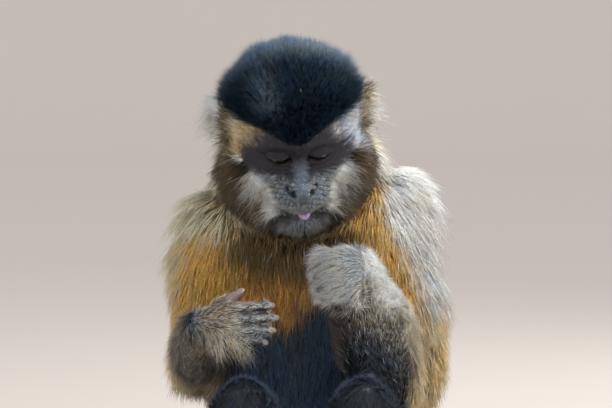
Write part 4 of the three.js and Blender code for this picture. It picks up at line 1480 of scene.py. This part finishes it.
def base_material(name, size, amount, relief=0, colour=None, **settings):
    """A material of one colour, or else with the mesh's attribute tone as its colour, with strand grain
    over it, and with a bump of the given height in metres as its relief. Settings are inputs of its
    Principled shader."""
    material = bpy.data.materials.get(name)
    if material:
        return material
    material = bpy.data.materials.new(name)
    material.use_nodes = True
    tree = material.node_tree
    shader = tree.nodes["Principled BSDF"]
    for key, value in settings.items():
        shader.inputs[key.replace("_", " ")].default_value = value
    position = add_node(tree, "TexCoord").outputs["Object"]
    tone = (*colour, 1) if colour else add_node(tree, "Attribute", attribute_name="tone").outputs["Color"]
    given = ("Vector", position), ("Colour", tone), ("Size", size), ("Amount", amount)
    grain = add_node(tree, "Group", *given, node_tree=grain_group()).outputs
    tree.links.new(grain["Colour"], shader.inputs["Base Color"])
    if relief:
        bump = add_node(tree, "Bump", ("Strength", 1), ("Distance", relief), ("Height", grain["Height"]))
        tree.links.new(bump.outputs["Normal"], shader.inputs["Normal"])
    return material


COLD_TINT = (0.6, 0.8, 1, 1)


def fur_material(name):
    """Hair: matt with a soft sheen, and on the cap smoother, with a cold shine."""
    if name == "cap_fur":
        shine = {"Specular_IOR_Level": 0.06, "Specular_Tint": COLD_TINT}
        return base_material(name, 0.0016, 0.35, Roughness=0.4, **shine)
    return base_material(name, 0.0012, 0.25, Roughness=0.6, Specular_IOR_Level=0.2, Sheen_Weight=0.03)


def skin_material():
    """Bare skin: pored and dull."""
    return base_material("bare_skin", 0.0009, 0.22, 0.00022, Roughness=0.42, Specular_IOR_Level=0.3)


def eye_material():
    """A wet eyeball."""
    return base_material("wet_eye", 0.0012, 0.1, Roughness=0.12, Coat_Weight=0.3, Coat_Roughness=0.05)


def tongue_material():
    """A moist tongue, finely pimpled."""
    colour = bpy.context.scene.capuchin_face.tongue[:]
    moist = {"Roughness": 0.28, "Subsurface_Weight": 0.15}
    return base_material("moist_tongue", 0.0006, 0.12, 0.0001, colour, **moist)


def nail_material():
    """Horny nails, streaked and half glossy."""
    colour = bpy.context.scene.capuchin_face.nail[:]
    return base_material("horn", 0.0008, 0.2, 0.00004, colour, Roughness=0.32)


# ---- Stage ----

VIEW_TARGET = (0.002, -0.06, 0.2337)
EVEN_SHARE = 0.6  # how much of the backdrop's look takes no part in the light
EVEN_STRENGTH = 0.95
SURROUND_COLOUR = (0.95, 0.975, 1, 1)
SENSOR_WIDTH = 36
# The backdrop: half its width, where its floor starts, its wall and that wall's top, and the bend between.
BACKDROP_HALF = 6500
FLOOR_START = -4000
WALL_PLACE = 5300
WALL_TOP = 4500
BEND = 700
# Each lamp's size and place in metres. Its power is the stage property of the same name.
LAMPS = {"key": (0.9, (0.75, -0.7, 1.35)), "fill": (1.2, (-1.3, -1.3, 0.75)), "rim": (0.6, (0.65, 0.9, 1.0))}


def backdrop_material(colour):
    """The backdrop's matt colour, part of which the camera sees as it is, whatever light falls there."""
    material = base_material("pale_backdrop", 0.3, 0.015, 0, colour, Roughness=0.9)
    tree = material.node_tree
    lit = tree.nodes["Principled BSDF"].outputs["BSDF"]
    even = add_node(tree, "Emission", ("Color", (*colour, 1)), ("Strength", EVEN_STRENGTH)).outputs[0]
    direct = add_node(tree, "LightPath").outputs["Is Camera Ray"]
    seen = add_node(tree, "Math", (0, direct), (1, EVEN_SHARE), operation="MULTIPLY").outputs[0]
    blend = add_node(tree, "MixShader", (0, seen), (1, lit), (2, even)).outputs[0]
    tree.links.new(blend, tree.nodes["Material Output"].inputs["Surface"])
    return material


def build_backdrop(colour):
    """A floor that sweeps up into a wall."""
    angle = np.linspace(0, math.pi / 2, 24)
    y = np.concatenate([[FLOOR_START], WALL_PLACE - BEND + BEND * np.sin(angle), [WALL_PLACE]])
    z = np.concatenate([[0], BEND - BEND * np.cos(angle), [WALL_TOP]])
    grid = vectors(np.array([-BACKDROP_HALF, BACKDROP_HALF])[:, None], y[None], z[None])
    index = np.arange(2 * len(y)).reshape(2, -1)
    quads = np.stack([index[0, :-1], index[1, :-1], index[1, 1:], index[0, 1:]], -1)
    backdrop = mesh_object("backdrop", grid.reshape(-1, 3), quads)
    backdrop.data.materials.append(backdrop_material(colour))


def aimed(name, data, at):
    """A lamp or camera at a place in metres, turned to the animal."""
    holder = bpy.data.objects.new(name, data)
    holder.location = at
    holder.rotation_euler = (Vector(VIEW_TARGET) - Vector(at)).to_track_quat("-Z", "Y").to_euler()
    bpy.context.scene.collection.objects.link(holder)
    return holder


def build_stage():
    """The backdrop, three soft lamps, an even surround and the camera."""
    scene = bpy.context.scene
    look = scene.capuchin_stage
    build_backdrop(look.backdrop[:])
    for key, (size, at) in LAMPS.items():
        lamp = bpy.data.lights.new(f"{key}_lamp", "AREA")
        lamp.energy = getattr(look, key)
        lamp.size = size
        aimed(f"{key}_lamp", lamp, at)
    scene.world = bpy.data.worlds.new("surround")
    scene.world.use_nodes = True
    background = scene.world.node_tree.nodes["Background"].inputs
    background["Color"].default_value = SURROUND_COLOUR
    background["Strength"].default_value = look.surround
    camera = bpy.data.cameras.new("camera")
    camera.sensor_width = SENSOR_WIDTH
    camera.lens = SENSOR_WIDTH * look.distance / look.view_width
    back = Vector((0, -math.cos(look.elevation), math.sin(look.elevation)))
    scene.camera = aimed("camera", camera, Vector(VIEW_TARGET) + back * look.distance)
    scene.view_settings.view_transform = "Standard"


# ---- Add-on ----


def colour_property(name, description, default):
    """A property that holds a colour."""
    return FloatVectorProperty(name=name, description=description, default=default, subtype="COLOR")


def measure_property(name, description, default, low=0.0, kind="LENGTH"):
    """A property that holds a length or a power, of at least a given value."""
    return FloatProperty(name=name, description=description, default=default, min=low, unit=kind)


def angle_property(name, description, default):
    """A property that holds an angle of less than a right angle."""
    return FloatProperty(
        name=name, description=description, default=default, min=0, max=1.5, subtype="ANGLE"
    )


class CapuchinHair(PropertyGroup):
    """Measures and colours of the hair on one region of the body."""

    length: measure_property("Length", "Length of a hair", 0.015)
    width: measure_property("Width", "Width of a tuft", 0.0008)
    lift: angle_property("Lift", "Angle between hair and skin", 0.5)
    growth: FloatProperty(name="Growth", description="How thick the hair grows", default=1, min=0, max=4)
    pale: FloatProperty(
        name="Pale hairs", description="Share of pale hairs", default=0.1, min=0, max=1, subtype="FACTOR"
    )
    skin: colour_property("Skin", "Colour of the bare skin", (0.1, 0.08, 0.07))
    root: colour_property("Root", "Colour of a hair at its root", (0.1, 0.08, 0.06))
    tip: colour_property("Tip", "Colour of a hair at its tip", (0.3, 0.25, 0.2))


class CapuchinFace(PropertyGroup):
    """Colours of eyes, tongue and nails."""

    iris: colour_property("Iris", "Colour of the iris", (0.022, 0.011, 0.006))
    eye_white: colour_property("Eye white", "Colour of the eyeball round the iris", (0.024, 0.017, 0.013))
    tongue: colour_property("Tongue", "Colour of the tongue", (0.29, 0.19, 0.34))
    nail: colour_property("Nails", "Colour of the nails", (0.24, 0.17, 0.15))


class CapuchinStage(PropertyGroup):
    """Backdrop, lamps and camera."""

    backdrop: colour_property("Backdrop", "Colour of floor and backdrop", (0.74, 0.67, 0.62))
    key: measure_property("Key lamp", "Power of the key lamp", 26, kind="POWER")
    fill: measure_property("Fill lamp", "Power of the fill lamp", 9, kind="POWER")
    rim: measure_property("Rim lamp", "Power of the lamp behind", 16, kind="POWER")
    surround: FloatProperty(
        name="Surround", description="Strength of the light all round", default=0.42, min=0
    )
    distance: measure_property("Distance", "From camera to animal", 2.6, 0.5)
    view_width: measure_property("View width", "Width in view at the animal", 0.41616, 0.05)
    elevation: angle_property("Elevation", "Angle of the camera above level", math.radians(4))


class CAPUCHIN_OT_skin(Operator):
    """Makes the skin of the whole animal"""

    bl_idname = "capuchin.skin"
    bl_label = "Skin"

    def execute(self, context):
        build_skin()
        return {"FINISHED"}


class CAPUCHIN_OT_eyes(Operator):
    """Makes the two eyeballs"""

    bl_idname = "capuchin.eyes"
    bl_label = "Eyes"

    def execute(self, context):
        build_eyes()
        return {"FINISHED"}


class CAPUCHIN_OT_tongue(Operator):
    """Makes the tip of the tongue"""

    bl_idname = "capuchin.tongue"
    bl_label = "Tongue"

    def execute(self, context):
        build_tongue()
        return {"FINISHED"}


class CAPUCHIN_OT_nails(Operator):
    """Makes the nails of fingers and toes"""

    bl_idname = "capuchin.nails"
    bl_label = "Nails"

    def execute(self, context):
        build_nails()
        return {"FINISHED"}


def build_coats(part):
    """Grows all pieces of the coat on one part of the animal."""
    for name, row in COATS.items():
        if row[-1] == part:
            build_coat(name)


class CAPUCHIN_OT_coat_head(Operator):
    """Grows the coat of the head over the skin"""

    bl_idname = "capuchin.coat_head"
    bl_label = "Coat of the head"

    def execute(self, context):
        build_coats("head")
        return {"FINISHED"}


class CAPUCHIN_OT_coat_body(Operator):
    """Grows the coat of neck, shoulders, chest and back over the skin"""

    bl_idname = "capuchin.coat_body"
    bl_label = "Coat of the body"

    def execute(self, context):
        build_coats("body")
        return {"FINISHED"}


class CAPUCHIN_OT_coat_limbs(Operator):
    """Grows the coat of arms, legs and tail over the skin"""

    bl_idname = "capuchin.coat_limbs"
    bl_label = "Coat of the limbs"

    def execute(self, context):
        build_coats("limbs")
        return {"FINISHED"}


class CAPUCHIN_OT_stage(Operator):
    """Sets up backdrop, lamps and camera"""

    bl_idname = "capuchin.stage"
    bl_label = "Stage"

    def execute(self, context):
        build_stage()
        return {"FINISHED"}


PIECES = (
    CAPUCHIN_OT_skin,
    CAPUCHIN_OT_eyes,
    CAPUCHIN_OT_tongue,
    CAPUCHIN_OT_nails,
    CAPUCHIN_OT_coat_head,
    CAPUCHIN_OT_coat_body,
    CAPUCHIN_OT_coat_limbs,
    CAPUCHIN_OT_stage,
)


class CAPUCHIN_PT_panel(Panel):
    """Lists the pieces of the animal, with its measures and colours"""

    bl_idname = "CAPUCHIN_PT_panel"
    bl_label = "Capuchin monkey"
    bl_space_type = "VIEW_3D"
    bl_region_type = "UI"
    bl_category = "Capuchin"

    def draw(self, context):
        layout = self.layout
        scene = context.scene
        for piece in PIECES:
            layout.operator(piece.bl_idname)
        for group in (scene.capuchin_face, scene.capuchin_stage, *scene.capuchin_hair):
            box = layout.box()
            box.label(text=group.name or group.bl_rna.name)
            for key in group.__annotations__:
                box.prop(group, key)


GROUPS = {
    "capuchin_face": (CapuchinFace, PointerProperty),
    "capuchin_stage": (CapuchinStage, PointerProperty),
    "capuchin_hair": (CapuchinHair, CollectionProperty),
}
CLASSES = (*(group for group, _ in GROUPS.values()), *PIECES, CAPUCHIN_PT_panel)


def register():
    """Registers the add-on's classes, and its properties on the scene."""
    for cls in CLASSES:
        bpy.utils.register_class(cls)
    for key, (group, kind) in GROUPS.items():
        setattr(bpy.types.Scene, key, kind(type=group))


def unregister():
    """Takes back what register did."""
    for key in GROUPS:
        delattr(bpy.types.Scene, key)
    for cls in reversed(CLASSES):
        bpy.utils.unregister_class(cls)


def main():
    """Makes every piece by its operator."""
    register()
    fill_hair()
    for piece in PIECES:
        getattr(bpy.ops.capuchin, piece.bl_idname.split(".")[1])()


if __name__ == "__main__":
    main()
